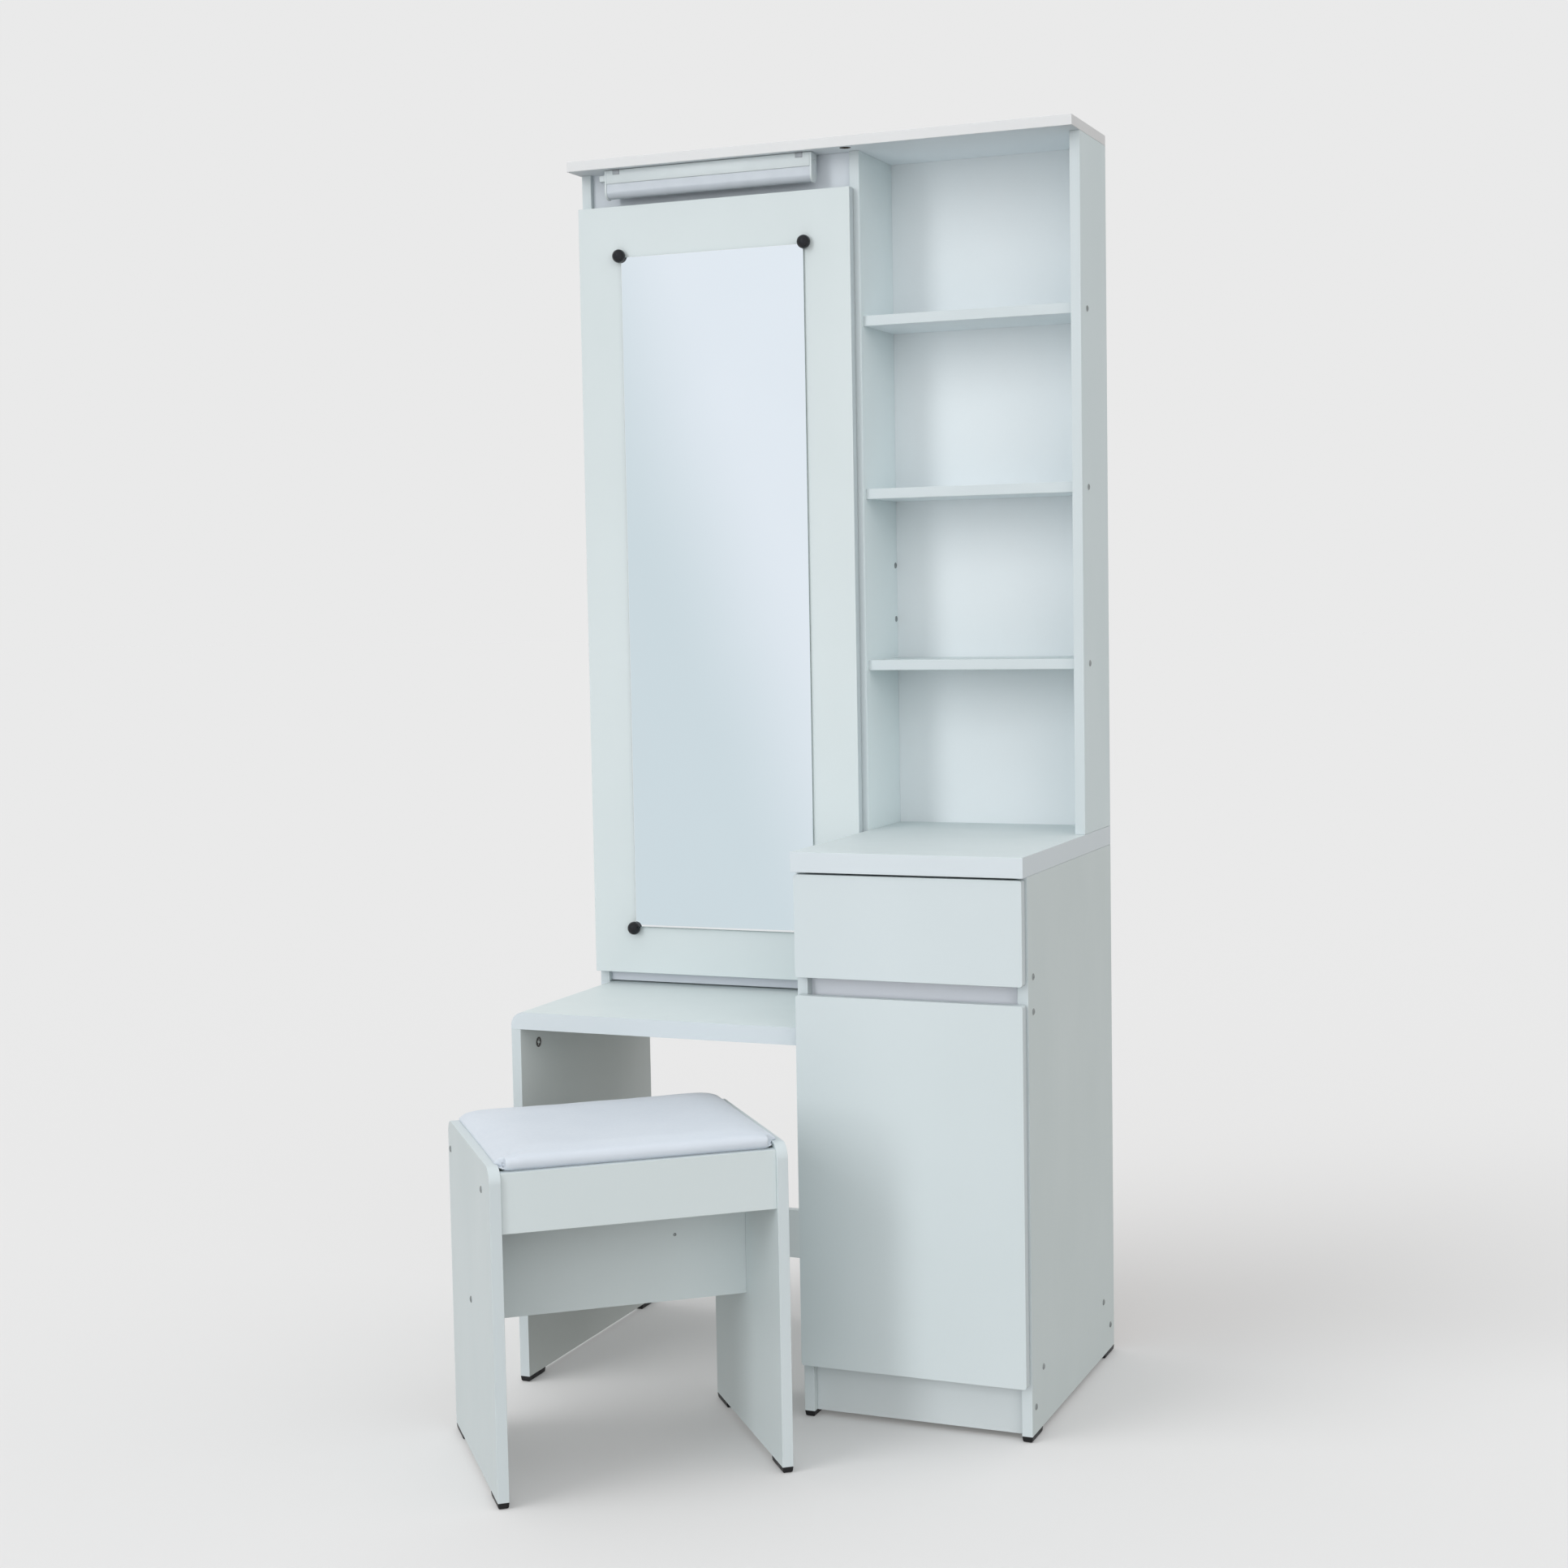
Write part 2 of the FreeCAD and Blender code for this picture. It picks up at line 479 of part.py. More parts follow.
def hutch():
    side_height = f"{TOP_UNDERSIDE} - table_height"
    for label, x in (("hutch_left_side", "0"), ("hutch_divider", "table_width - board")):
        board_node(label, (x, "-hutch_depth", "table_height"), ("board", "hutch_depth", side_height))
    right_x = f"{CABINET_RIGHT} - board"
    right_size = ("board", "hutch_depth", f"{TOP_UNDERSIDE} - slab_height")
    board_node("hutch_right_side", (right_x, "-hutch_depth", "slab_height"), right_size)

    top_width = f"{CABINET_RIGHT} + top_overhang_left"
    top_size = (top_width, "hutch_depth + top_overhang_front", "board")
    top = box(("-top_overhang_left", TOP_FRONT, TOP_UNDERSIDE), top_size)
    hole_start = ("cable_hole_x", f"{TOP_FRONT} + cable_hole_setback", TOP_UNDERSIDE)
    hole = rod(hole_start, FreeCAD.Rotation(), "cable_hole_radius", "board")
    node(cut(top, hole), "top_board")

    rail_y = "-hutch_depth + rail_recess"
    rails = (
        ("hutch_top_rail", rail_y, f"{TOP_UNDERSIDE} - top_rail_height", "top_rail_height"),
        ("hutch_bottom_rail", rail_y, "table_height + bottom_rail_gap", "bottom_rail_height"),
        ("hutch_mid_back_rail", "-board", f"{BACK_RAIL_CENTRE} - back_rail_height / 2", "back_rail_height"),
    )
    for label, y, z, height in rails:
        board_node(label, ("board", y, z), (HUTCH_CLEAR_WIDTH, "board", height))

    shelf_width = f"{CABINET_INSIDE} + board"
    for number in (1, 2, 3):
        z = f"slab_height + {4 - number} * {SHELF_BAY} + {3 - number} * board"
        board_node(f"shelf_{number}", ("table_width", "-hutch_depth + shelf_setback", z),
                   (shelf_width, "hutch_depth - shelf_setback", "board"))

    seam = "(table_width - board / 2)"
    back_top = f"({TOP_UNDERSIDE} + board / 2)"
    board_node("mirror_compartment_back", ("back_margin", "0", "table_height + back_margin"),
               (f"{seam} - back_margin - clearance", "back_board", f"{back_top} - table_height"))
    board_node("bookcase_back", (seam, "0", "slab_height + back_margin"),
               (f"{CABINET_RIGHT} - back_margin - {seam}", "back_board", f"{back_top} - slab_height"))


def hutch_fixings():
    screws = []
    for number in (1, 2, 3):
        z = f"slab_height + {4 - number} * {SHELF_BAY} + {3 - number} * board + board / 2"
        screws.append(screw(CABINET_RIGHT, "-shelf_fixing", z, -1))
        screws.append(screw("table_width - board", "-shelf_fixing", z, 1))
    for sign in ("+", "-"):
        z = f"{BACK_RAIL_CENTRE} {sign} back_rail_fixing"
        screws.append(screw("table_width", "-board / 2", z, -1))
        screws.append(screw("0", "-board / 2", z, 1))
    node(group(*screws), "hutch_screws")


# The blind holes for the hinge cups, the cups that are pressed into them and the arms on the side
# panel. edge is the hinged edge of the front, face the inner face of the side panel, and side is 1
# where the front reaches to the right of its hinges and -1 where it reaches to the left.
def hinges(edge, face, side, back, carcass, heights):
    holes = []
    cups = []
    arms = []
    x = f"{edge} + {side} * cup_edge"
    for z in heights:
        holes.append(rod((x, back, z), TO_FRONT, "cup_radius", "cup_depth"))
        shell = rod((x, back, z), TO_FRONT, "cup_radius - cup_play", "cup_depth - cup_play")
        flange = box((f"{x} - flange_radius", back, f"{z} - flange_reach"),
                     ("2 * flange_radius", "flange_sheet", "2 * flange_reach"))
        ends = [rod((x, f"{back} + flange_sheet", f"{z} {sign} flange_reach"), TO_FRONT,
                    "flange_radius", "flange_sheet") for sign in ("+", "-")]
        mouth = rod((x, f"{back} + 2 * flange_sheet", z), TO_FRONT, "cup_radius - cup_play - cup_wall",
                    "cup_depth + 2 * flange_sheet - cup_play - cup_wall")
        cups.append(cut(fuse(shell, flange, *ends), mouth))

        def against_face(start, thickness):
            return f"{face} + {start}" if side > 0 else f"{face} - {start} - {thickness}"
        plate_y = f"{carcass} + plate_setback"
        turn = ALONG_X if side > 0 else AGAINST_X
        plate = box((against_face("0", "plate_sheet"), f"{plate_y} - plate_radius", f"{z} - plate_reach"),
                    ("plate_sheet", "2 * plate_radius", "2 * plate_reach"))
        wings = [rod((face, plate_y, f"{z} {sign} plate_reach"), turn, "plate_radius", "plate_sheet")
                 for sign in ("+", "-")]
        arm_x = against_face("plate_sheet", "arm_thickness")
        arm = box((arm_x, f"{carcass} + clearance", f"{z} - arm_width / 2"),
                  ("arm_thickness", "arm_length", "arm_width"))
        nose_x = against_face("plate_sheet", "nose_thickness")
        nose = box((nose_x, f"{back} - nose_reach", f"{z} - nose_width / 2"),
                   ("nose_thickness", f"{carcass} + clearance - ({back}) + nose_reach", "nose_width"))
        arms.append(fuse(plate, *wings, arm, nose))
    return holes, cups, arms


def door():
    edge = f"({CABINET_RIGHT} - front_inset)"
    heights = ("door_bottom + door_hinge_margin", f"door_bottom + {DOOR_HEIGHT} - door_hinge_margin")
    face = f"{CABINET_RIGHT} - board"
    holes, cups, arms = hinges(edge, face, -1, DRAWER_FRONT_EDGE, "-carcass_depth", heights)
    start = ("table_width + front_inset", FRONT_PLANE, "door_bottom")
    is_corner = lambda across, along, up: along == 0.5
    panel = rounded_board(start, (FRONT_WIDTH, "front_board", DOOR_HEIGHT), "front_corner", is_corner)
    node(cut(panel, *holes), "door_panel")
    node(group(*cups), "door_hinge_cups")
    node(group(*arms), "door_hinge_arms")


def mirror_door():
    heights = (f"{MIRROR_BOTTOM} + mirror_hinge_margin", f"{MIRROR_BOTTOM} + {MIRROR_HEIGHT} / 2",
               f"{MIRROR_BOTTOM} + {MIRROR_HEIGHT} - mirror_hinge_margin")
    holes, cups, arms = hinges("mirror_inset", "board", 1, MIRROR_BACK, "-hutch_depth", heights)
    panel = box(("mirror_inset", MIRROR_FRONT, MIRROR_BOTTOM), (MIRROR_WIDTH, "front_board", MIRROR_HEIGHT))
    node(cut(panel, *holes), "mirror_panel")
    node(group(*cups), "mirror_hinge_cups")
    node(group(*arms), "mirror_hinge_arms")
    board_node("mirror_glass", (GLASS_LEFT, f"{MIRROR_FRONT} - glass_thickness", GLASS_BOTTOM),
               (GLASS_WIDTH, "glass_thickness", GLASS_HEIGHT))
    knobs = []
    head_back = f"{MIRROR_FRONT} - glass_thickness - glass_play"
    for x in (f"{GLASS_LEFT} - knob_offset", f"{GLASS_LEFT} + {GLASS_WIDTH} + knob_offset"):
        for z in (f"{GLASS_BOTTOM} - knob_offset", f"{GLASS_BOTTOM} + {GLASS_HEIGHT} + knob_offset"):
            shank_length = "knob_bite + glass_thickness + glass_play"
            shank_start = (x, f"{MIRROR_FRONT} + knob_bite", z)
            shank = prism(shank_start, TO_FRONT, 6, "knob_shank_radius", shank_length)
            band = rod((x, head_back, z), TO_FRONT, "knob_radius", "knob_band")
            dome = doc.addObject("Part::Ellipsoid", "dome")
            dome.Angle1 = 0
            dome.Placement = FreeCAD.Placement(FreeCAD.Vector(), TO_FRONT)
            bind(dome, "Radius1", "knob_dome")
            bind(dome, "Radius2", "knob_radius")
            bind(dome, "Radius3", "knob_radius")
            place(dome, x, f"{head_back} - knob_band", z)
            knobs.append(fuse(shank, band, dome))
    node(group(*knobs), "mirror_knobs")


# The lamp hangs in two spring clips under the top board: a channel with the light strip inside, a
# half-round diffuser below it and a cap on each end, the right one with a socket for the lead.
def lamp():
    inner_left = "lamp_left + lamp_cap"
    inner_length = "(lamp_length - 2 * lamp_cap)"
    channel = box((inner_left, LAMP_FRONT, LAMP_BOTTOM), (inner_length, "lamp_depth", "lamp_body_height"))
    hollow = box((inner_left, f"{LAMP_FRONT} + lamp_wall", LAMP_BOTTOM),
                 (inner_length, "lamp_depth - 2 * lamp_wall", "lamp_body_height - lamp_wall"))
    node(cut(channel, hollow), "lamp_body")

    middle = f"{LAMP_FRONT} + lamp_depth / 2"
    strip_size = (inner_length, "led_width", "led_thickness")
    strip_z = f"{LAMP_TOP} - lamp_wall - led_thickness"
    board_node("lamp_light_strip", (inner_left, f"{middle} - led_width / 2", strip_z), strip_size)

    def trough(radius):
        side = box((inner_left, f"{middle} - {radius}", f"{LAMP_BOTTOM} - diffuser_side"),
                   (inner_length, f"2 * {radius}", "diffuser_side + lamp_wall"))
        round_start = (inner_left, middle, f"{LAMP_BOTTOM} - diffuser_side")
        return fuse(side, rod(round_start, ALONG_X, radius, inner_length))
    node(cut(trough("diffuser_radius"), trough("(diffuser_radius - diffuser_wall)")), "lamp_diffuser")

    caps = []
    drop = "lamp_body_height + diffuser_side"
    for x in ("lamp_left", f"{LAMP_RIGHT} - lamp_cap"):
        plate = box((x, LAMP_FRONT, f"{LAMP_TOP} - ({drop})"), ("lamp_cap", "lamp_depth", drop))
        round_end = rod((x, middle, f"{LAMP_TOP} - ({drop})"), ALONG_X, "lamp_depth / 2", "lamp_cap")
        caps.append(fuse(plate, round_end))
    socket_y = f"{middle} - socket_width / 2"
    socket = box((f"{LAMP_RIGHT} - socket_depth", socket_y, f"{LAMP_BOTTOM} + socket_height"),
                 ("socket_depth", "socket_width", "socket_height"))
    node(group(caps[0], cut(caps[1], socket)), "lamp_end_caps")

    clips = []
    for x in ("lamp_left + clip_margin", f"{LAMP_RIGHT} - clip_margin - clip_length"):
        leg_z = f"{TOP_UNDERSIDE} - clip_sheet - clip_leg"
        outside = box((x, f"{LAMP_FRONT} - clip_sheet", leg_z),
                      ("clip_length", "lamp_depth + 2 * clip_sheet", "clip_sheet + clip_leg"))
        inside = box((x, LAMP_FRONT, leg_z), ("clip_length", "lamp_depth", "clip_leg"))
        clips.append(cut(outside, inside))
    node(group(*clips), "lamp_clips")
    board_node("lamp_connector", ("lamp_left - connector_length", f"{middle} - connector_width / 2",
                                  f"{LAMP_BOTTOM} + socket_height"),
               ("connector_length", "connector_width", "connector_height"))


# Every piece of the stool is made about the middle of the stool and then turned into its place.
def stool_node(label, *solids):
    piece = node(group(*solids), label)
    piece.Placement = FreeCAD.Placement(FreeCAD.Vector(), FreeCAD.Rotation(UP, 1))
    bind(piece, "Placement.Rotation.Angle", "stool_angle")
    place(piece, "stool_x", "stool_y", "0")


def stool_board(label, start, extent):
    stool_node(label, box(start, extent, place_in_stool))


def stool():
    side_size = ("board", "stool_depth", "stool_height - foot_height")
    is_shoulder = lambda across, along, up: across == 0.5 and up == 1
    screws = []
    glides = []
    sides = (("stool_left_side", "-stool_width / 2", 1), ("stool_right_side", "stool_width / 2 - board", -1))
    for label, x, inward in sides:
        start = (x, "-stool_depth / 2", "foot_height")
        stool_node(label, rounded_board(start, side_size, "stool_corner", is_shoulder, place_in_stool))
        outer = x if inward > 0 else "stool_width / 2"
        seat_screw = "apron_top - seat_fixing"
        for y, z in (("bearer_centre", seat_screw), ("rear_apron_centre", seat_screw),
                     ("stretcher_front + board / 2", "stretcher_bottom + stretcher_fixing")):
            screws.append(screw(outer, y, z, inward, place_in_stool))
        for y in ("-stool_depth / 2", "stool_depth / 2 - foot_length"):
            glides.append(glide(x, y, place_in_stool))
    inner_left = f"-{STOOL_INSIDE} / 2"
    apron_size = (STOOL_INSIDE, "board", "apron_height")
    apron_z = "apron_top - apron_height"
    stool_board("stool_front_apron", (inner_left, "-stool_depth / 2 + apron_recess", apron_z), apron_size)
    stool_board("stool_rear_apron", (inner_left, "rear_apron_centre - board / 2", apron_z), apron_size)
    stool_board("stool_seat_bearer", (inner_left, "bearer_centre - board / 2", "apron_top - bearer_height"),
                (STOOL_INSIDE, "board", "bearer_height"))
    stool_board("stool_stretcher", (inner_left, "stretcher_front", "stretcher_bottom"),
                (STOOL_INSIDE, "board", "stretcher_height"))
    peg_start = ("stretcher_peg_x", "stretcher_front + board", "stretcher_bottom + stretcher_peg_height")
    screws.append(rod(peg_start, TO_FRONT, "peg_radius", "board + screw_head", place_in_stool))
    board_inset = "(cushion_play + seat_board_inset)"
    seat_depth = "(stool_depth - 2 * cushion_setback - 2 * seat_board_inset)"
    stool_board("stool_seat_board", (f"{inner_left} + {board_inset}", f"-{seat_depth} / 2", "apron_top"),
                (f"{STOOL_INSIDE} - 2 * {board_inset}", seat_depth, "seat_board"))
    stool_node("stool_screws", *screws)
    stool_node("stool_glides", *glides)
    stool_node("stool_cushion", cushion())


# One level of the cushion: a rectangle whose sides are arcs that draw in between round corners.
def cushion_level(half_width, half_depth, height, corner, draw):
    bend = corner * (1 - 0.5 ** 0.5)
    wide, deep = half_width - corner, half_depth - corner
    half_round = (
        ((wide, -half_depth), (half_width - bend, bend - half_depth), (half_width, -deep)),
        ((half_width, -deep), (half_width - draw, 0), (half_width, deep)),
        ((half_width, deep), (half_width - bend, half_depth - bend), (wide, half_depth)),
        ((wide, half_depth), (0, half_depth - draw), (-wide, half_depth)),
    )
    edges = []
    for sign in (1, -1):
        for arc in half_round:
            points = [FreeCAD.Vector(sign * x, sign * y, height) for x, y in arc]
            edges.append(Part.Arc(*points).toShape())
    return Part.Wire(edges)


# The cushion fills the seat between the side panels, laps over their tops and swells into a low crown.
# It is hollow for its board.
def cushion():
    half_width = size("stool_width") / 2 - size("board") - size("cushion_play")
    half_depth = size("stool_depth") / 2 - size("cushion_setback")
    lowest = size("apron_top") + size("clearance")
    panel_top = size("stool_height") + size("clearance")
    highest = lowest + size("cushion_height")
    lap_width = half_width + size("cushion_play") + size("cushion_lap")
    plan = (size("cushion_corner"), size("cushion_draw"))
    foot_levels = ((0, 2.5), (0.4, 1), (1, 0.2))
    foot_wires = []
    for share, inset in foot_levels:
        height = lowest + share * (panel_top - lowest)
        foot_wires.append(cushion_level(half_width - inset, half_depth - inset, height, *plan))
    crown_levels = ((0, 1.2), (0.18, 0), (0.36, 1.2), (0.52, 4), (0.66, 8.5), (0.78, 16), (0.88, 29),
                    (0.95, 48), (1, 90))
    crown_wires = []
    for share, inset in crown_levels:
        height = panel_top + share * (highest - panel_top)
        crown_wires.append(cushion_level(lap_width - inset, half_depth - inset, height, *plan))
    pillow = Part.makeLoft(foot_wires, True, True).fuse(Part.makeLoft(crown_wires, True, True))
    room_inset = size("seat_board_inset") - size("clearance")
    room_half = FreeCAD.Vector(half_width - room_inset, half_depth - room_inset, 0)
    room_height = size("seat_board") + 2 * size("clearance")
    room_start = FreeCAD.Vector(-room_half.x, -room_half.y, size("apron_top") - size("clearance"))
    room = Part.makeBox(2 * room_half.x, 2 * room_half.y, room_height, room_start)
    solid = doc.addObject("Part::Feature", "cushion_form")
    solid.Shape = pillow.cut(room)
    return solid


def write_parts():
    doc.recompute()
    for thing in doc.Objects:
        if "Invalid" in thing.State or "Error" in thing.State:
            raise RuntimeError(f"{thing.Label} failed: {thing.State}")
    for thing in NODES:
        if thing.Shape.isNull() or not thing.Shape.isValid() or not thing.Shape.Solids:
            raise RuntimeError(f"{thing.Label} has no valid solid")
    os.makedirs("parts", exist_ok=True)
    for thing in NODES:
        thing.Shape.exportStep(f"parts/{thing.Label}.step")
    print(len(NODES), "nodes,", sum(len(thing.Shape.Solids) for thing in NODES), "solids")


table()
cabinet()
cabinet_fixings()
drawer()
hutch()
hutch_fixings()
door()
mirror_door()
lamp()
stool()
write_parts()
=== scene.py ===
import json
import math

import bmesh
import bpy
import numpy
from mathutils import Matrix, Vector


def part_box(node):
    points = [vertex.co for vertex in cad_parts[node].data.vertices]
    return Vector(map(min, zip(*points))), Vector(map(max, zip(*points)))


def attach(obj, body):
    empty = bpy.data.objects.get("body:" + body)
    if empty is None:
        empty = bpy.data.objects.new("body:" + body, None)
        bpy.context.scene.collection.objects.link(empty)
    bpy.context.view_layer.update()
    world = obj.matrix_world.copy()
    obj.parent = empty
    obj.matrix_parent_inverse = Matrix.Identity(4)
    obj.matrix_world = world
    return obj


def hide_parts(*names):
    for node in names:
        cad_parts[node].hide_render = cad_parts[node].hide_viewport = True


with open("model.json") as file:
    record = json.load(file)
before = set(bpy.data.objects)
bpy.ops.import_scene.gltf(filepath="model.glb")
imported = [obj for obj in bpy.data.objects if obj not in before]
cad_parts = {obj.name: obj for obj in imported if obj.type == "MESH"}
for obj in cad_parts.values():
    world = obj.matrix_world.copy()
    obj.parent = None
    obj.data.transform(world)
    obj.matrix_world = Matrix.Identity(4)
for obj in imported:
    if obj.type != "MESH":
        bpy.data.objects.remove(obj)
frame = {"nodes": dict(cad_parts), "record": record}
nodes = frame["nodes"]
scene = bpy.context.scene
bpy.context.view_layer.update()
bodyOf = {node: body for body, members in frame["record"]["behaviour"]["bodies"].items() for node in members}
slotOf = {part["node"]: part["material_slot"] for part in frame["record"]["subparts"]}
print("frame:", len(nodes), "nodes")

cameraSetup = {
    "position": (1.30227, -3.02004, 1.13787),  # metres
    "yaw": -22.4916,  # degrees, negative looks to the left
    "pitch": -4.4075,
    "roll": -1.0296,
    "focalPixels": 2957.73,
    "photoPixels": 1932,
    "sensor": 36.0,
    "clipEnd": 200.0,
}


def placeCamera(setup):
    yaw, pitch, roll = (math.radians(setup[key]) for key in ("yaw", "pitch", "roll"))
    ahead = Vector((math.sin(yaw) * math.cos(pitch), math.cos(yaw) * math.cos(pitch), math.sin(pitch)))
    right = Vector((math.cos(yaw), -math.sin(yaw), 0))
    up = right.cross(ahead)
    rolledRight = right * math.cos(roll) + up * math.sin(roll)
    rolledUp = up * math.cos(roll) - right * math.sin(roll)
    data = bpy.data.cameras.new("photoCamera")
    data.sensor_width = setup["sensor"]
    data.lens = setup["focalPixels"] / setup["photoPixels"] * setup["sensor"]
    data.clip_end = setup["clipEnd"]
    camera = bpy.data.objects.new("photoCamera", data)
    scene.collection.objects.link(camera)
    turn = Matrix((rolledRight, rolledUp, -ahead)).transposed().to_4x4()
    camera.matrix_world = Matrix.Translation(setup["position"]) @ turn
    scene.camera = camera


placeCamera(cameraSetup)
print("camera placed")

# Studio: pale floor, even surround, a tall key from the left and the floor's bounce from the front.
studio = {
    "surround": (0.822, 0.822, 0.822),
    "below": (0.092, 0.074, 0.056),  # what the undersides see in place of the floor
    "horizon": (-0.12, -0.05),  # the surround takes over between these heights of the view
    "floorColour": (0.68, 0.68, 0.68),
    "floorRoughness": 0.9,
    "floorGlow": 0.12,
    "floorReach": 60.0,
    "lampDistance": 5.0,
}
# name: where it comes from (degrees left of the front, degrees up), softness in degrees, strength, colour
lamps = {
    "keyLight": (24.7, 31.0, 15.0, 0.27, (0.98, 1.0, 1.02)),
    "keyMiddle": (24.7, 17.0, 15.0, 0.28, (0.98, 1.0, 1.02)),
    "keyFoot": (24.7, 3.0, 15.0, 0.27, (0.98, 1.0, 1.02)),
    "frontBounce": (4.0, -34.0, 50.0, 0.64, (0.98, 1.0, 1.02)),
    "rightFill": (-45.0, 10.0, 50.0, 0.62, (1.0, 1.0, 1.0)),
    "topFill": (0.0, 85.0, 60.0, 0.48, (1.0, 1.0, 1.0)),
    "sideFill": (-95.0, 20.0, 70.0, 0.15, (1.0, 1.0, 0.98)),
    "floorKey": (45.0, 52.0, 35.0, 0.84, (1.0, 1.0, 1.0)),
}
# The card is what the mirror sees: bright to the right of a slanting soft line.
mirrorCard = {
    "plane": -4.0,
    "left": -7.0,
    "right": 4.0,
    "top": 6.0,
    "lineAt": (-2.0, 1.4),
    "lineNormal": (0.935, 0.357),
    "fade": (-0.40, 0.18),
    "dim": (0.656, 0.730, 0.762),
    "bright": (0.818, 0.857, 0.906),
}


def addSheet(name, corners):
    mesh = bpy.data.meshes.new(name)
    mesh.from_pydata(corners, [], [(0, 1, 2, 3)])
    sheet = bpy.data.objects.new(name, mesh)
    scene.collection.objects.link(sheet)
    paint = bpy.data.materials.new(name + "Paint")
    paint.use_nodes = True
    mesh.materials.append(paint)
    return sheet, paint.node_tree


def addSun(name, leftOfFront, elevation, softness, strength, colour):
    data = bpy.data.lights.new(name, "SUN")
    data.energy = strength
    data.color = colour
    data.angle = math.radians(softness)
    sun = bpy.data.objects.new(name, data)
    scene.collection.objects.link(sun)
    turn, rise = math.radians(leftOfFront), math.radians(elevation)
    travel = Vector((math.sin(turn) * math.cos(rise), math.cos(turn) * math.cos(rise), -math.sin(rise)))
    sun.rotation_mode = "QUATERNION"
    sun.rotation_quaternion = travel.to_track_quat("-Z", "Y")
    sun.location = -travel * studio["lampDistance"]
    return sun


def lightStudio(setup, card):
    world = bpy.data.worlds.new("studioSurround")
    scene.world = world
    world.use_nodes = True
    tree = world.node_tree
    tree.nodes.clear()
    output = tree.nodes.new("ShaderNodeOutputWorld")
    surround = tree.nodes.new("ShaderNodeBackground")
    where = tree.nodes.new("ShaderNodeTexCoord")
    parts = tree.nodes.new("ShaderNodeSeparateXYZ")
    level = tree.nodes.new("ShaderNodeMapRange")
    level.inputs["From Min"].default_value, level.inputs["From Max"].default_value = setup["horizon"]
    ramp = tree.nodes.new("ShaderNodeValToRGB")
    ramp.color_ramp.elements[0].color = (*setup["below"], 1)
    ramp.color_ramp.elements[1].color = (*setup["surround"], 1)
    tree.links.new(where.outputs["Generated"], parts.inputs[0])
    tree.links.new(parts.outputs["Z"], level.inputs["Value"])
    tree.links.new(level.outputs["Result"], ramp.inputs["Fac"])
    tree.links.new(ramp.outputs["Color"], surround.inputs["Color"])
    tree.links.new(surround.outputs[0], output.inputs["Surface"])

    reach = setup["floorReach"]
    corners = [(-reach, -reach, 0), (reach, -reach, 0), (reach, reach, 0), (-reach, reach, 0)]
    floor, tree = addSheet("studioFloor", corners)
    shader = tree.nodes["Principled BSDF"]
    shader.inputs["Base Color"].default_value = (*setup["floorColour"], 1)
    shader.inputs["Roughness"].default_value = setup["floorRoughness"]
    shader.inputs["Specular IOR Level"].default_value = 0.0
    shader.inputs["Emission Color"].default_value = (1, 1, 1, 1)
    shader.inputs["Emission Strength"].default_value = setup["floorGlow"]
    floor.visible_diffuse = False
    floor.data.materials[0].cycles.emission_sampling = "NONE"  # the glow is for the camera and the mirror

    onFloor = bpy.data.collections.new("onFloor")
    onFloor.objects.link(floor)
    offFloor = bpy.data.collections.new("offFloor")
    offFloor.objects.link(floor)
    offFloor.collection_objects[0].light_linking.link_state = "EXCLUDE"
    for name, lamp in lamps.items():
        sun = addSun(name, *lamp)
        sun.visible_glossy = name.startswith("key")  # the fills make no highlights
        sun.light_linking.receiver_collection = onFloor if name == "floorKey" else offFloor
        if lamp[1] < 0:  # from below, so the floor lets it through
            sun.light_linking.blocker_collection = offFloor

    y, left, right, top = card["plane"], card["left"], card["right"], card["top"]
    sheet, tree = addSheet("mirrorCard", [(left, y, 0), (right, y, 0), (right, y, top), (left, y, top)])
    tree.nodes.clear()
    where = tree.nodes.new("ShaderNodeTexCoord")
    place = tree.nodes.new("ShaderNodeMapping")
    slant = math.atan2(card["lineNormal"][1], card["lineNormal"][0])
    place.vector_type = "TEXTURE"
    place.inputs["Location"].default_value = (card["lineAt"][0], 0, card["lineAt"][1])
    place.inputs["Rotation"].default_value = (0, -slant, 0)
    across = tree.nodes.new("ShaderNodeSeparateXYZ")
    fade = tree.nodes.new("ShaderNodeMapRange")
    fade.interpolation_type = "SMOOTHSTEP"
    fade.inputs["From Min"].default_value, fade.inputs["From Max"].default_value = card["fade"]
    ramp = tree.nodes.new("ShaderNodeValToRGB")
    ramp.color_ramp.elements[0].color = (*card["dim"], 1)
    ramp.color_ramp.elements[1].color = (*card["bright"], 1)
    glow = tree.nodes.new("ShaderNodeEmission")
    output = tree.nodes.new("ShaderNodeOutputMaterial")
    tree.links.new(where.outputs["Object"], place.inputs["Vector"])
    tree.links.new(place.outputs["Vector"], across.inputs[0])
    tree.links.new(across.outputs["X"], fade.inputs["Value"])
    tree.links.new(fade.outputs["Result"], ramp.inputs["Fac"])
    tree.links.new(ramp.outputs["Color"], glow.inputs["Color"])
    tree.links.new(glow.outputs[0], output.inputs["Surface"])
    sheet.visible_camera = sheet.visible_diffuse = sheet.visible_shadow = False
    sheet.visible_transmission = sheet.visible_volume_scatter = False

    scene.view_settings.view_transform = "Standard"
    scene.view_settings.look = "None"


lightStudio(studio, mirrorCard)
print("studio lit")

noiseSpan = (0.3, 0.7)  # most values of a noise lie between these


# Small helpers for the finishes.
def newFinish(name, **sockets):
    paint = bpy.data.materials.new(name)
    paint.use_nodes = True
    shader = paint.node_tree.nodes["Principled BSDF"]
    for label, value in sockets.items():
        shader.inputs[label.replace("_", " ")].default_value = value
    return paint, paint.node_tree, shader


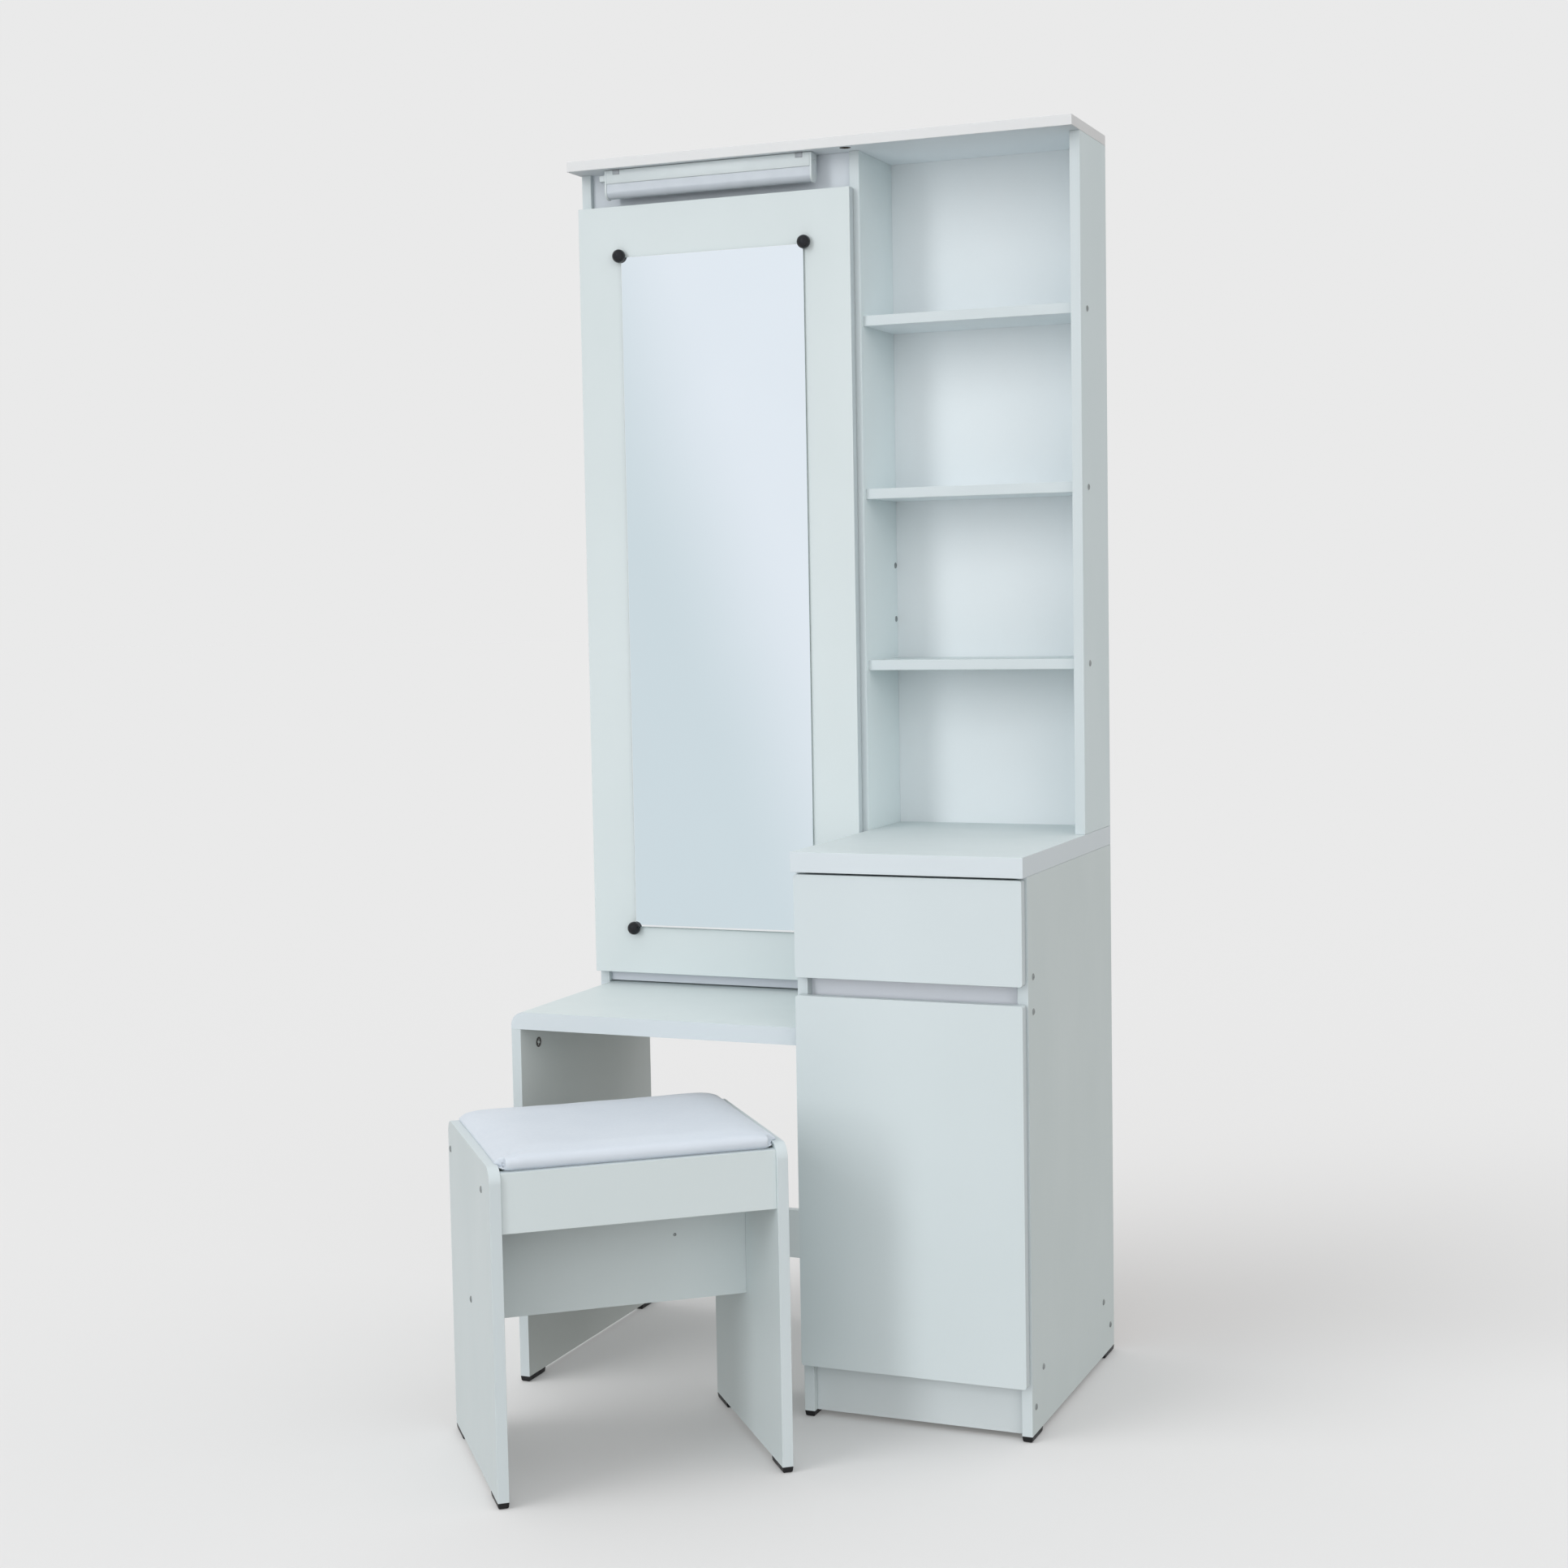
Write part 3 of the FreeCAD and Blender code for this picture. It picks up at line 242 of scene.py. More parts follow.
def surfacePoint(tree, stretch):
    where = tree.nodes.new("ShaderNodeTexCoord")
    place = tree.nodes.new("ShaderNodeMapping")
    place.inputs["Scale"].default_value = stretch
    tree.links.new(where.outputs["Object"], place.inputs["Vector"])
    return place.outputs["Vector"]


def noiseOn(tree, scale, detail, stretch=(1, 1, 1), rough=0.5):
    grain = tree.nodes.new("ShaderNodeTexNoise")
    grain.inputs["Scale"].default_value = scale
    grain.inputs["Detail"].default_value = detail
    grain.inputs["Roughness"].default_value = rough
    tree.links.new(surfacePoint(tree, stretch), grain.inputs["Vector"])
    return grain.outputs["Fac"]


def cellsOn(tree, scale, feature="F1", stretch=(1, 1, 1)):
    cells = tree.nodes.new("ShaderNodeTexVoronoi")
    cells.feature = feature
    cells.inputs["Scale"].default_value = scale
    tree.links.new(surfacePoint(tree, stretch), cells.inputs["Vector"])
    return cells


def rampOn(tree, factor, *stops):
    ramp = tree.nodes.new("ShaderNodeValToRGB")
    first, last = ramp.color_ramp.elements
    first.position, first.color = stops[0][0], (*stops[0][1], 1)
    last.position, last.color = stops[-1][0], (*stops[-1][1], 1)
    for position, colour in stops[1:-1]:
        ramp.color_ramp.elements.new(position).color = (*colour, 1)
    tree.links.new(factor, ramp.inputs["Fac"])
    return ramp.outputs["Color"]


def tonesOn(tree, factor, dark, light):
    return rampOn(tree, factor, (noiseSpan[0], dark), (noiseSpan[1], light))


def spanOn(tree, factor, low, high):
    span = tree.nodes.new("ShaderNodeMapRange")
    span.inputs["From Min"].default_value, span.inputs["From Max"].default_value = noiseSpan
    span.inputs["To Min"].default_value = low
    span.inputs["To Max"].default_value = high
    tree.links.new(factor, span.inputs["Value"])
    return span.outputs["Result"]


def bumpOn(tree, height, depth, strength, over=None):
    bump = tree.nodes.new("ShaderNodeBump")
    bump.inputs["Distance"].default_value = depth
    bump.inputs["Strength"].default_value = strength
    tree.links.new(height, bump.inputs["Height"])
    if over is not None:
        tree.links.new(over, bump.inputs["Normal"])
    return bump.outputs["Normal"]


def finishWith(tree, shader, colour=None, roughness=None, normal=None):
    for label, output in (("Base Color", colour), ("Roughness", roughness), ("Normal", normal)):
        if output is not None:
            tree.links.new(output, shader.inputs[label])


melamine = {
    "tone": (0.632, 0.697, 0.708),
    "dull": (0.614, 0.681, 0.690),
    "roughness": (0.40, 0.52),
    "pearl": 1300.0,  # grains to the metre
    "pearlDepth": 0.00003,
}
edgeBand = {
    "tone": (0.592, 0.656, 0.676),
    "dull": (0.575, 0.640, 0.660),
    "roughness": (0.38, 0.48),
    "pearl": 700.0,
    "pearlDepth": 0.00002,
}
tableBand = {**edgeBand, "tone": (0.632, 0.694, 0.728), "dull": (0.615, 0.678, 0.711)}
# The top board's edge band is lighter and greyer as painted light, so that its front edge melts into the bright
# surround.
topBandWithPaintedLight = {**edgeBand, "tone": (0.690, 0.700, 0.706), "dull": (0.678, 0.689, 0.696)}
# The backs' white-painted hardboard, its tone set lighter as painted light so that the recessed backs look as bright
# as the fronts.
backPaintWithLight = {
    "tone": (0.766, 0.814, 0.836),
    "dull": (0.746, 0.796, 0.818),
    "roughness": (0.5, 0.62),
    "pearl": 500.0,
    "pearlDepth": 0.00006,
}
# Tone of single boards as a share of the melamine's: red, green and blue.
# This is painted light and shade: most boards are made lighter for light that the studio lacks, a few darker for
# shade.
paintedLightOnBoards = {
    "hutch_divider": (1.20, 1.20, 1.20),
    "top_board": (1.26, 1.22, 1.25),
    "shelf_1": (1.17, 1.15, 1.17),
    "shelf_2": (1.17, 1.15, 1.17),
    "plinth_front": (0.92, 0.91, 0.92),
    "cabinet_mid_rail": (1.23, 1.16, 1.22),
    "hutch_top_rail": (1.04, 1.01, 1.06),
    "hutch_bottom_rail": (1.14, 1.09, 1.16),
    "hutch_right_side": (1.03, 1.06, 1.07),
    "cabinet_right_side": (0.95, 0.96, 0.95),
    "door_panel": (0.965, 0.97, 0.98),
    "drawer_front": (0.97, 0.975, 0.99),
    "left_leg": (1.0, 0.975, 0.95),
    "table_top": (1.04, 1.04, 1.03),
    "stool_right_side": (1.05, 1.06, 1.06),
}
# What all the white boards share: clouds in the tone, smears in the gloss and a faint orange peel.
boardGrain = {
    "specular": 0.38,
    "clouds": 3.2,
    "cloudSpan": (0.35, 0.65),
    "smears": 11.0,
    "smearStretch": (1, 1, 0.35),
    "peel": 160.0,
    "peelDepth": 0.00004,
}


def boardFinish(name, setup):
    paint, tree, shader = newFinish(name, Specular_IOR_Level=boardGrain["specular"])
    clouds = noiseOn(tree, boardGrain["clouds"], detail=5)
    smears = noiseOn(tree, boardGrain["smears"], detail=6, stretch=boardGrain["smearStretch"], rough=0.6)
    peel = bumpOn(tree, noiseOn(tree, boardGrain["peel"], detail=2), boardGrain["peelDepth"], strength=0.35)
    dullTo, toneFrom = boardGrain["cloudSpan"]
    colour = rampOn(tree, clouds, (dullTo, setup["dull"]), (toneFrom, setup["tone"]))
    pearl = bumpOn(tree, noiseOn(tree, setup["pearl"], detail=1), setup["pearlDepth"], strength=0.6, over=peel)
    finishWith(tree, shader, colour, spanOn(tree, smears, *setup["roughness"]), pearl)
    return paint


# A board's face with painted light and shade, where the board has a tone of its own in the table above.
def faceWithPaintedLight(name):
    if name not in paintedLightOnBoards:
        return whiteBoard
    paintedTone = dict(melamine)
    for key in ("tone", "dull"):
        paintedTone[key] = tuple(share * part for share, part in zip(paintedLightOnBoards[name], melamine[key]))
    return boardFinish("paintedLightMelamine_" + name, paintedTone)


hardboard = {
    "dark": (0.20, 0.125, 0.072),
    "middle": (0.33, 0.22, 0.132),
    "light": (0.45, 0.325, 0.21),
    "specular": 0.2,
    "roughness": (0.72, 0.9),
    "fibres": 420.0,
    "fibreStretch": (1, 1, 0.22),
    "wireMesh": 620.0,  # the press leaves its print
    "meshDepth": 0.0004,
}


def hardboardFinish(setup):
    paint, tree, shader = newFinish("rawHardboard", Specular_IOR_Level=setup["specular"])
    fibres = noiseOn(tree, setup["fibres"], detail=6, stretch=setup["fibreStretch"], rough=0.7)
    colour = rampOn(tree, fibres, (0.25, setup["dark"]), (0.5, setup["middle"]), (0.8, setup["light"]))
    relief = bumpOn(tree, cellsOn(tree, setup["wireMesh"]).outputs["Distance"], setup["meshDepth"], strength=0.7)
    finishWith(tree, shader, colour, spanOn(tree, fibres, *setup["roughness"]), relief)
    return paint


chipboard = {
    "specular": 0.2,
    "roughness": (0.75, 0.92),
    "chips": 330.0,
    "chipStretch": (1, 1, 0.45),
    "chipDepth": 0.0006,
    "dust": 300.0,
}


def chipboardFinish(name, dark, middle, light):
    paint, tree, shader = newFinish(name, Specular_IOR_Level=chipboard["specular"])
    chips = cellsOn(tree, chipboard["chips"], stretch=chipboard["chipStretch"])
    colour = rampOn(tree, chips.outputs["Color"], (0.1, dark), (0.5, middle), (0.9, light))
    gloss = spanOn(tree, noiseOn(tree, chipboard["dust"], detail=3), *chipboard["roughness"])
    relief = bumpOn(tree, chips.outputs["Distance"], chipboard["chipDepth"], strength=0.6)
    finishWith(tree, shader, colour, gloss, relief)
    return paint


metalGrain = {"mottle": 90.0, "scratch": 900.0, "brushed": 1500.0, "depth": 0.00004}


def metalFinish(name, dark, light, roughness, stretch=(1, 1, 1), scratch=metalGrain["scratch"]):
    paint, tree, shader = newFinish(name, Metallic=1.0)
    lines = noiseOn(tree, scratch, detail=4, stretch=stretch, rough=0.65)
    colour = tonesOn(tree, noiseOn(tree, metalGrain["mottle"], detail=4), dark, light)
    relief = bumpOn(tree, lines, metalGrain["depth"], strength=0.5)
    finishWith(tree, shader, colour, spanOn(tree, lines, *roughness), relief)
    return paint


plasticGrain = {"mottle": 40.0, "smears": 70.0}


def plasticFinish(name, dark, light, roughness, grain, depth, **sockets):
    paint, tree, shader = newFinish(name, **sockets)
    colour = tonesOn(tree, noiseOn(tree, plasticGrain["mottle"], detail=4), dark, light)
    gloss = spanOn(tree, noiseOn(tree, plasticGrain["smears"], detail=5), *roughness)
    finishWith(tree, shader, colour, gloss, bumpOn(tree, noiseOn(tree, grain, detail=3), depth, strength=0.6))
    return paint


silverCoat = {
    "dull": (0.915, 0.950, 0.970),
    "tone": (0.925, 0.958, 0.978),
    "haze": 6.0,
    "roughness": (0.0, 0.012),
}


def silverFinish(setup):
    paint, tree, shader = newFinish("mirrorSilver", Metallic=1.0)
    haze = noiseOn(tree, setup["haze"], detail=5)
    colour = tonesOn(tree, haze, setup["dull"], setup["tone"])
    finishWith(tree, shader, colour, spanOn(tree, haze, *setup["roughness"]))
    return paint


vinyl = {
    "dull": (0.605, 0.658, 0.722),
    "tone": (0.630, 0.681, 0.742),
    "clouds": 14.0,
    "roughness": (0.40, 0.54),
    "smears": 220.0,
    "grain": 900.0,
    "grainDepth": 0.00012,
    "dimples": 55.0,
    "dimpleDepth": 0.0004,
}


def vinylFinish(setup):
    paint, tree, shader = newFinish("seatVinyl", Specular_IOR_Level=0.42, Sheen_Weight=0.08, Sheen_Roughness=0.4)
    colour = tonesOn(tree, noiseOn(tree, setup["clouds"], detail=5), setup["dull"], setup["tone"])
    gloss = spanOn(tree, noiseOn(tree, setup["smears"], detail=3), *setup["roughness"])
    dimples = bumpOn(tree, noiseOn(tree, setup["dimples"], detail=4), setup["dimpleDepth"], strength=0.35)
    grain = cellsOn(tree, setup["grain"], "DISTANCE_TO_EDGE").outputs["Distance"]
    finishWith(tree, shader, colour, gloss, bumpOn(tree, grain, setup["grainDepth"], strength=0.5, over=dimples))
    return paint


ledStrip = {
    "spot": (0.78, 0.66, 0.22),
    "board": (0.82, 0.83, 0.82),
    "spotEdge": (0.24, 0.30),
    "perMetre": 110.0,  # one pale yellow spot every 9 mm
    "roughness": 0.5,
    "grain": 800.0,
    "grainDepth": 0.0002,
}


def stripFinish(setup):
    paint, tree, shader = newFinish("lightStrip", Roughness=setup["roughness"])
    spots = cellsOn(tree, setup["perMetre"], stretch=(1, 0, 0)).outputs["Distance"]
    spotTo, boardFrom = setup["spotEdge"]
    colour = rampOn(tree, spots, (spotTo, setup["spot"]), (boardFrom, setup["board"]))
    relief = bumpOn(tree, noiseOn(tree, setup["grain"], detail=2), setup["grainDepth"], strength=0.4)
    finishWith(tree, shader, colour, normal=relief)
    return paint


whiteBoard = boardFinish("whiteMelamine", melamine)
whiteBand = boardFinish("whiteEdgeBand", edgeBand)
whiteBackWithPaintedLight = boardFinish("paintedBackWithLight", backPaintWithLight)
# The top board's band carries painted light.
paintedLightTopBand = boardFinish("paintedLightTopBand", topBandWithPaintedLight)
whiteTableBand = boardFinish("whiteTableBand", tableBand)
rawHardboard = hardboardFinish(hardboard)
rawChipboard = chipboardFinish("rawChipboard", (0.20, 0.125, 0.065), (0.40, 0.28, 0.165), (0.56, 0.43, 0.28))
# The hole's wall: chipboard darkened with painted shade.
paintedShadeHoleWall = chipboardFinish("paintedShadeHoleWall", (0.07, 0.063, 0.055), (0.10, 0.092, 0.082), (0.14, 0.13, 0.115))
silver = silverFinish(silverCoat)
# Plastics and metals: dark tone, light tone, roughness.
glassEdge = plasticFinish(
    "glassEdge", (0.16, 0.22, 0.21), (0.22, 0.29, 0.27), (0.05, 0.14), grain=300.0, depth=0.00003, Coat_Weight=0.6
)
mirrorPaint = plasticFinish(
    "mirrorBackPaint", (0.20, 0.21, 0.22), (0.24, 0.25, 0.26), (0.5, 0.65), grain=500.0, depth=0.00005
)
blackGloss = plasticFinish(
    "blackKnob",
    (0.006, 0.0065, 0.009),
    (0.010, 0.011, 0.014),
    (0.13, 0.20),
    grain=600.0,
    depth=0.00002,
    Specular_IOR_Level=0.34,
)
blackMould = plasticFinish(
    "blackGlide",
    (0.005, 0.005, 0.006),
    (0.012, 0.012, 0.013),
    (0.40, 0.55),
    grain=900.0,
    depth=0.00008,
    Specular_IOR_Level=0.3,
)
runnerNylon = plasticFinish(
    "runnerNylon",
    (0.70, 0.71, 0.69),
    (0.76, 0.77, 0.75),
    (0.42, 0.55),
    grain=700.0,
    depth=0.00006,
    Subsurface_Weight=0.05,
)
lampWhite = plasticFinish(
    "lampWhite", (0.59, 0.650, 0.665), (0.62, 0.680, 0.695), (0.30, 0.40), grain=500.0, depth=0.00003
)
lampOpal = plasticFinish(
    "lampOpal",
    (0.490, 0.540, 0.590),
    (0.520, 0.570, 0.620),
    (0.16, 0.24),
    grain=260.0,
    depth=0.00003,
    Subsurface_Weight=0.15,
    Subsurface_Radius=(0.004, 0.004, 0.004),
)
screwZinc = metalFinish("screwZinc", (0.26, 0.28, 0.28), (0.36, 0.38, 0.38), (0.32, 0.48))
camZinc = metalFinish("camZinc", (0.055, 0.052, 0.050), (0.095, 0.09, 0.085), (0.40, 0.54))
hingeNickel = metalFinish(
    "hingeNickel", (0.62, 0.61, 0.59), (0.70, 0.69, 0.67), (0.22, 0.34), (1, 0.08, 1), metalGrain["brushed"]
)
clipSteel = metalFinish(
    "clipSteel", (0.27, 0.28, 0.29), (0.35, 0.36, 0.37), (0.30, 0.42), (0.1, 1, 1), metalGrain["brushed"]
)
lightStrip = stripFinish(ledStrip)
seatVinyl = vinylFinish(vinyl)
print("finishes made")

cadMesh = {
    "weld": 2e-6,  # metres between points that are one
    "flat": 0.3,  # degrees within a flat face
    "corner": 35.0,  # degrees that make a corner
}


# A mesh made here takes the node's place and rides on its body.
def addPiece(name, shape, stand, finishes, sharp=24.0):
    mesh = bpy.data.meshes.new(name)
    shape.to_mesh(mesh)
    shape.free()
    for layer in [layer for layer in mesh.attributes if layer.name == "custom_normal"]:
        mesh.attributes.remove(layer)
    for paint in finishes:
        mesh.materials.append(paint)
    mesh.shade_smooth()
    mesh.set_sharp_from_angle(angle=math.radians(sharp))
    piece = bpy.data.objects.new(name, mesh)
    scene.collection.objects.link(piece)
    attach(piece, bodyOf[stand])
    return piece


def weldedOf(name):
    shape = bmesh.new()
    shape.from_mesh(nodes[name].data)
    bmesh.ops.remove_doubles(shape, verts=shape.verts, dist=cadMesh["weld"])
    return shape


def solidOf(name):
    shape = weldedOf(name)
    flat = math.radians(cadMesh["flat"])
    bmesh.ops.dissolve_limit(shape, angle_limit=flat, verts=shape.verts, edges=shape.edges)
    return shape


def easeEdges(shape, ease, steps, pick=None):
    sharp = math.radians(cadMesh["corner"])
    corners = [edge for edge in shape.edges if edge.is_manifold and edge.calc_face_angle() > sharp]
    if pick is not None:
        corners = [edge for edge in corners if pick(edge)]
    bmesh.ops.bevel(shape, geom=corners, offset=ease, segments=steps, profile=0.5, affect="EDGES", clamp_overlap=True)
    shape.normal_update()


def spanOf(points):
    return (Vector([pick(point[axis] for point in points) for axis in range(3)]) for pick in (min, max))


def roundPoints(radius, steps):
    angles = (2 * math.pi * step / steps for step in range(steps))
    return [(radius * math.cos(angle), radius * math.sin(angle)) for angle in angles]


# Turns a profile of (radius, height) pairs round the local Z axis of place.
def turnProfile(shape, profile, place, steps, material=0):
    rings = []
    for radius, height in profile:
        around = roundPoints(radius, steps) if radius else [(0, 0)]
        rings.append([shape.verts.new(place @ Vector((x, y, height))) for x, y in around])
    for lower, upper in zip(rings, rings[1:]):
        for step in range(steps):
            following = (step + 1) % steps
            if len(lower) == 1:
                corners = (lower[0], upper[step], upper[following])
            elif len(upper) == 1:
                corners = (lower[step], lower[following], upper[0])
            else:
                corners = (lower[step], lower[following], upper[following], upper[step])
            shape.faces.new(corners).material_index = material


def facing(point, outward):
    return Matrix.Translation(point) @ Vector(outward).to_track_quat("Z", "Y").to_matrix().to_4x4()


boards = {
    "ease": 0.0007,  # metres taken off each corner by the edge trimmer
    "steps": 2,
    "edgeSlope": 0.75,  # a face that leans more than this from the board's flat gets the band
    "rearSlope": 0.5,
    "underSlope": 0.9,
    "holeAt": (0.0511, 0.275),  # the cable hole in the top board
    "holeSpan": 0.0095,
    "backDrop": 0.003,  # the bookcase back ends this much lower, so no slit shows above the slab
    "footBand": 0.001,
    "seatCorner": 0.009,  # round corners of the board in the cushion
    "seatCornerSteps": 6,
    "upright": 0.005,  # an edge that rises more than this is one of those corners
}

# Nails that hold the backs: columns on the upright boards, rows on the level ones, in metres.
backNails = {
    "profile": ((0.0, -0.001), (0.0021, -0.001), (0.0021, 0.0002), (0.0017, 0.0005), (0.0, 0.0006)),
    "steps": 16,
    "spacing": 0.14,
    "endGap": 0.03,
    "columns": {
        "mirror_compartment_back": (-0.3804, 0.0507),
        "bookcase_back": (0.0585, 0.3846),
        "cabinet_back": (0.0696, 0.3846),
    },
    "rows": {
        "mirror_compartment_back": (1.145, 1.789),
        "bookcase_back": (1.038, 1.2895, 1.541, 1.789),
        "cabinet_back": (0.0895, 0.773),
    },
}


def addNails(shape, name, setup):
    low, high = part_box(name)
    left, right = setup["columns"][name]
    places = []
    count = round((high.z - low.z - 2 * setup["endGap"]) / setup["spacing"])
    for step in range(count + 1):
        z = low.z + setup["endGap"] + step / count * (high.z - low.z - 2 * setup["endGap"])
        places += [(left, z), (right, z)]
    count = round((right - left) / setup["spacing"])
    for z in setup["rows"][name]:
        places += [(left + (right - left) * step / count, z) for step in range(1, count)]
    for x, z in places:
        turnProfile(shape, setup["profile"], facing((x, high.y, z), (0, 1, 0)), setup["steps"], material=2)


def isUpright(edge):
    return abs(edge.verts[0].co.z - edge.verts[1].co.z) > boards["upright"]


def dressBoard(name, face, band, rear=None, corner=0.0, drop=0.0):
    shape = solidOf(name)
    if corner:
        easeEdges(shape, corner, boards["seatCornerSteps"], isUpright)
    foot = min(vert.co.z for vert in shape.verts) + boards["footBand"]
    for vert in shape.verts:
        vert.co.z -= drop if vert.co.z < foot else 0
    flat = max(shape.faces, key=lambda each: each.calc_area()).normal.copy()
    easeEdges(shape, boards["ease"], boards["steps"])
    for each in shape.faces:
        narrow = abs(each.normal.dot(flat)) < boards["edgeSlope"]
        hidden = rear is not None and each.normal.dot(Vector(rear)) > boards["rearSlope"]
        each.material_index = 1 if narrow or hidden else 0
    if name in backNails["columns"]:
        addNails(shape, name, backNails)
    piece = addPiece(name + "_board", shape, name, [face, band, screwZinc])
    settle = piece.modifiers.new("evenFaces", "WEIGHTED_NORMAL")
    settle.keep_sharp = True
    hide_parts(name)
    return piece


def dressBoards():
    bands = {"top_board": paintedLightTopBand, "table_top": whiteTableBand, "cabinet_slab": whiteTableBand}
    dressed = {}
    for name, slot in slotOf.items():
        if slot == "white_board":
            dressed[name] = dressBoard(name, faceWithPaintedLight(name), bands.get(name, whiteBand))
    for name, drop in (("mirror_compartment_back", 0), ("bookcase_back", boards["backDrop"]), ("cabinet_back", 0)):
        dressBoard(name, whiteBackWithPaintedLight, rawHardboard, rear=(0, 1, 0), drop=drop)
    dressBoard("drawer_bottom", whiteBackWithPaintedLight, rawHardboard, rear=(0, 0, -1))
    # The vinyl is drawn round the seat board, and the board's underside stays raw.
    seat = dressBoard("stool_seat_board", seatVinyl, seatVinyl, corner=boards["seatCorner"]).data
    seat.materials[2] = rawChipboard
    for each in seat.polygons:
        if each.normal.z < -boards["underSlope"]:
            each.material_index = 2
    # The cable hole in the top board shows its wall as raw chipboard darkened with painted shade.
    top = dressed["top_board"].data
    top.materials[2] = paintedShadeHoleWall
    for each in top.polygons:
        inHole = (each.center.xy - Vector(boards["holeAt"])).length < boards["holeSpan"]
        if inHole and abs(each.normal.z) < boards["edgeSlope"]:
            each.material_index = 2


dressBoards()
print("boards dressed")


def looseParts(name):
    shape = weldedOf(name)
    found, seen = [], set()
    for start in shape.verts:
        if start.index in seen:
            continue
        queue, group = [start], []
        seen.add(start.index)
        while queue:
            vert = queue.pop()
            group.append(vert.co.copy())
            for edge in vert.link_edges:
                other = edge.other_vert(vert)
                if other.index not in seen:
                    seen.add(other.index)
                    queue.append(other)
        found.append(group)
    shape.free()
    return found


screwHead = {
    "radius": 0.0045,
    "rise": 0.0008,
    "crown": 0.0011,
    "slotReach": 0.0025,
    "slotHalf": 0.00062,
    "slotDepth": 0.0016,
}
camHead = {
    "radius": 0.0075,
    "rise": 0.0008,
    "crown": 0.0,
    "slotReach": 0.0044,
    "slotHalf": 0.0013,
    "slotDepth": 0.0030,
}
# What all the heads share.
headForm = {
    "rimFrom": 0.86,  # share of the radius where the rim turns down
    "rimDrop": 0.0003,
    "slotFlare": (1.2, 0.3),  # a slot is wider in the middle
    "slotSoft": 0.0003,
    "slotRise": 0.5,  # and shallower at its ends
    "ringPower": 0.8,
    "skirtShare": 0.98,
    "skirtFoot": -0.002,
    "turn": 0.35,  # each slot stands at its own angle
    "turnSpread": 40.0,
}
# The peg in the stretcher: shares of its radius, and heights.
peg = {
    "widest": 0.003,
    "profile": ((0.0, -0.004), (1.0, -0.004), (1.0, -0.0004), (0.8, 0.0), (0.0, 0.0001)),
    "steps": 24,
}
headFinder = {"even": 1e-5, "rimShare": 0.9}


# A head with a cross recess, as heights over a polar grid. The place's Z axis points out of the board.
def addHead(shape, place, setup, steps=28, rings=10, material=0):
    radius, slotReach = setup["radius"], setup["slotReach"]
    rimFrom = headForm["rimFrom"]
    flare, taper = headForm["slotFlare"]

    def heightAt(x, y):
        share = min(1.0, math.hypot(x, y) / radius)
        height = setup["rise"] + setup["crown"] * (1 - share * share)
        height -= headForm["rimDrop"] * max(0.0, share - rimFrom) / (1 - rimFrom)
        inSlot = 0.0
        for along, aside in ((abs(x), abs(y)), (abs(y), abs(x))):
            edge = max(along - slotReach, aside - setup["slotHalf"] * (flare - taper * along / slotReach))
            inSlot = max(inSlot, min(1.0, max(0.0, 0.5 - edge / headForm["slotSoft"])))
        return height - setup["slotDepth"] * inSlot * (1 - headForm["slotRise"] * share)

    grid = [[shape.verts.new(place @ Vector((0, 0, heightAt(0, 0))))]]
    for ring in range(1, rings + 1):
        around = roundPoints(radius * (ring / rings) ** headForm["ringPower"], steps)
        grid.append([shape.verts.new(place @ Vector((x, y, heightAt(x, y)))) for x, y in around])
    around = roundPoints(radius * headForm["skirtShare"], steps)
    skirt = [shape.verts.new(place @ Vector((x, y, headForm["skirtFoot"]))) for x, y in around]
    grid.append(skirt)
    for lower, upper in zip(grid, grid[1:]):
        for step in range(steps):
            following = (step + 1) % steps
            if len(lower) == 1:
                corners = (lower[0], upper[step], upper[following])
            else:
                corners = (lower[step], upper[step], upper[following], lower[following])
            shape.faces.new(corners).material_index = material
    shape.faces.new(reversed(skirt)).material_index = material


# Where each CAD screw's head is, and which way it looks.
def headPlaces(name):
    places = []
    even = headFinder["even"]
    for part in looseParts(name):
        points = numpy.array([tuple(point) for point in part])
        middle = points.mean(axis=0)
        axis = numpy.linalg.svd(points - middle)[2][0]
        along = (points - middle) @ axis
        spread = numpy.linalg.norm(points - middle - numpy.outer(along, axis), axis=1)
        wider = spread[along > along.mean()].max() - spread[along < along.mean()].max()
        if wider < -even or abs(wider) < even and axis[0] < 0:  # a plain pin shows its right end
            axis, along = -axis, -along
        rim = spread > spread.max() * headFinder["rimShare"]
        centre = (points[rim] - numpy.outer(along, axis)[rim]).mean(axis=0)
        places.append((Vector(centre + axis * along.max()), Vector(axis), float(spread.max())))
    return places


def makeHeads():
    for name, setup, paint in (
        ("cabinet_screws", screwHead, screwZinc),
        ("hutch_screws", screwHead, screwZinc),
        ("stool_screws", screwHead, screwZinc),
        ("leg_cam_fittings", camHead, camZinc),
    ):
        shape = bmesh.new()
        for top, outward, radius in headPlaces(name):
            if radius < peg["widest"]:
                profile = [(share * radius, height) for share, height in peg["profile"]]
                turnProfile(shape, profile, facing(top, outward), peg["steps"])
                continue
            spot = top - outward * setup["rise"]
            angle = headForm["turn"] + headForm["turnSpread"] * (spot.x + spot.y * 2 + spot.z * 3)
            addHead(shape, facing(spot, outward) @ Matrix.Rotation(angle, 4, "Z"), setup)
        bmesh.ops.recalc_face_normals(shape, faces=shape.faces)
        piece = addPiece(name + "_heads", shape, name, [paint], sharp=50)
        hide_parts(name)


makeHeads()
print("screw heads made")

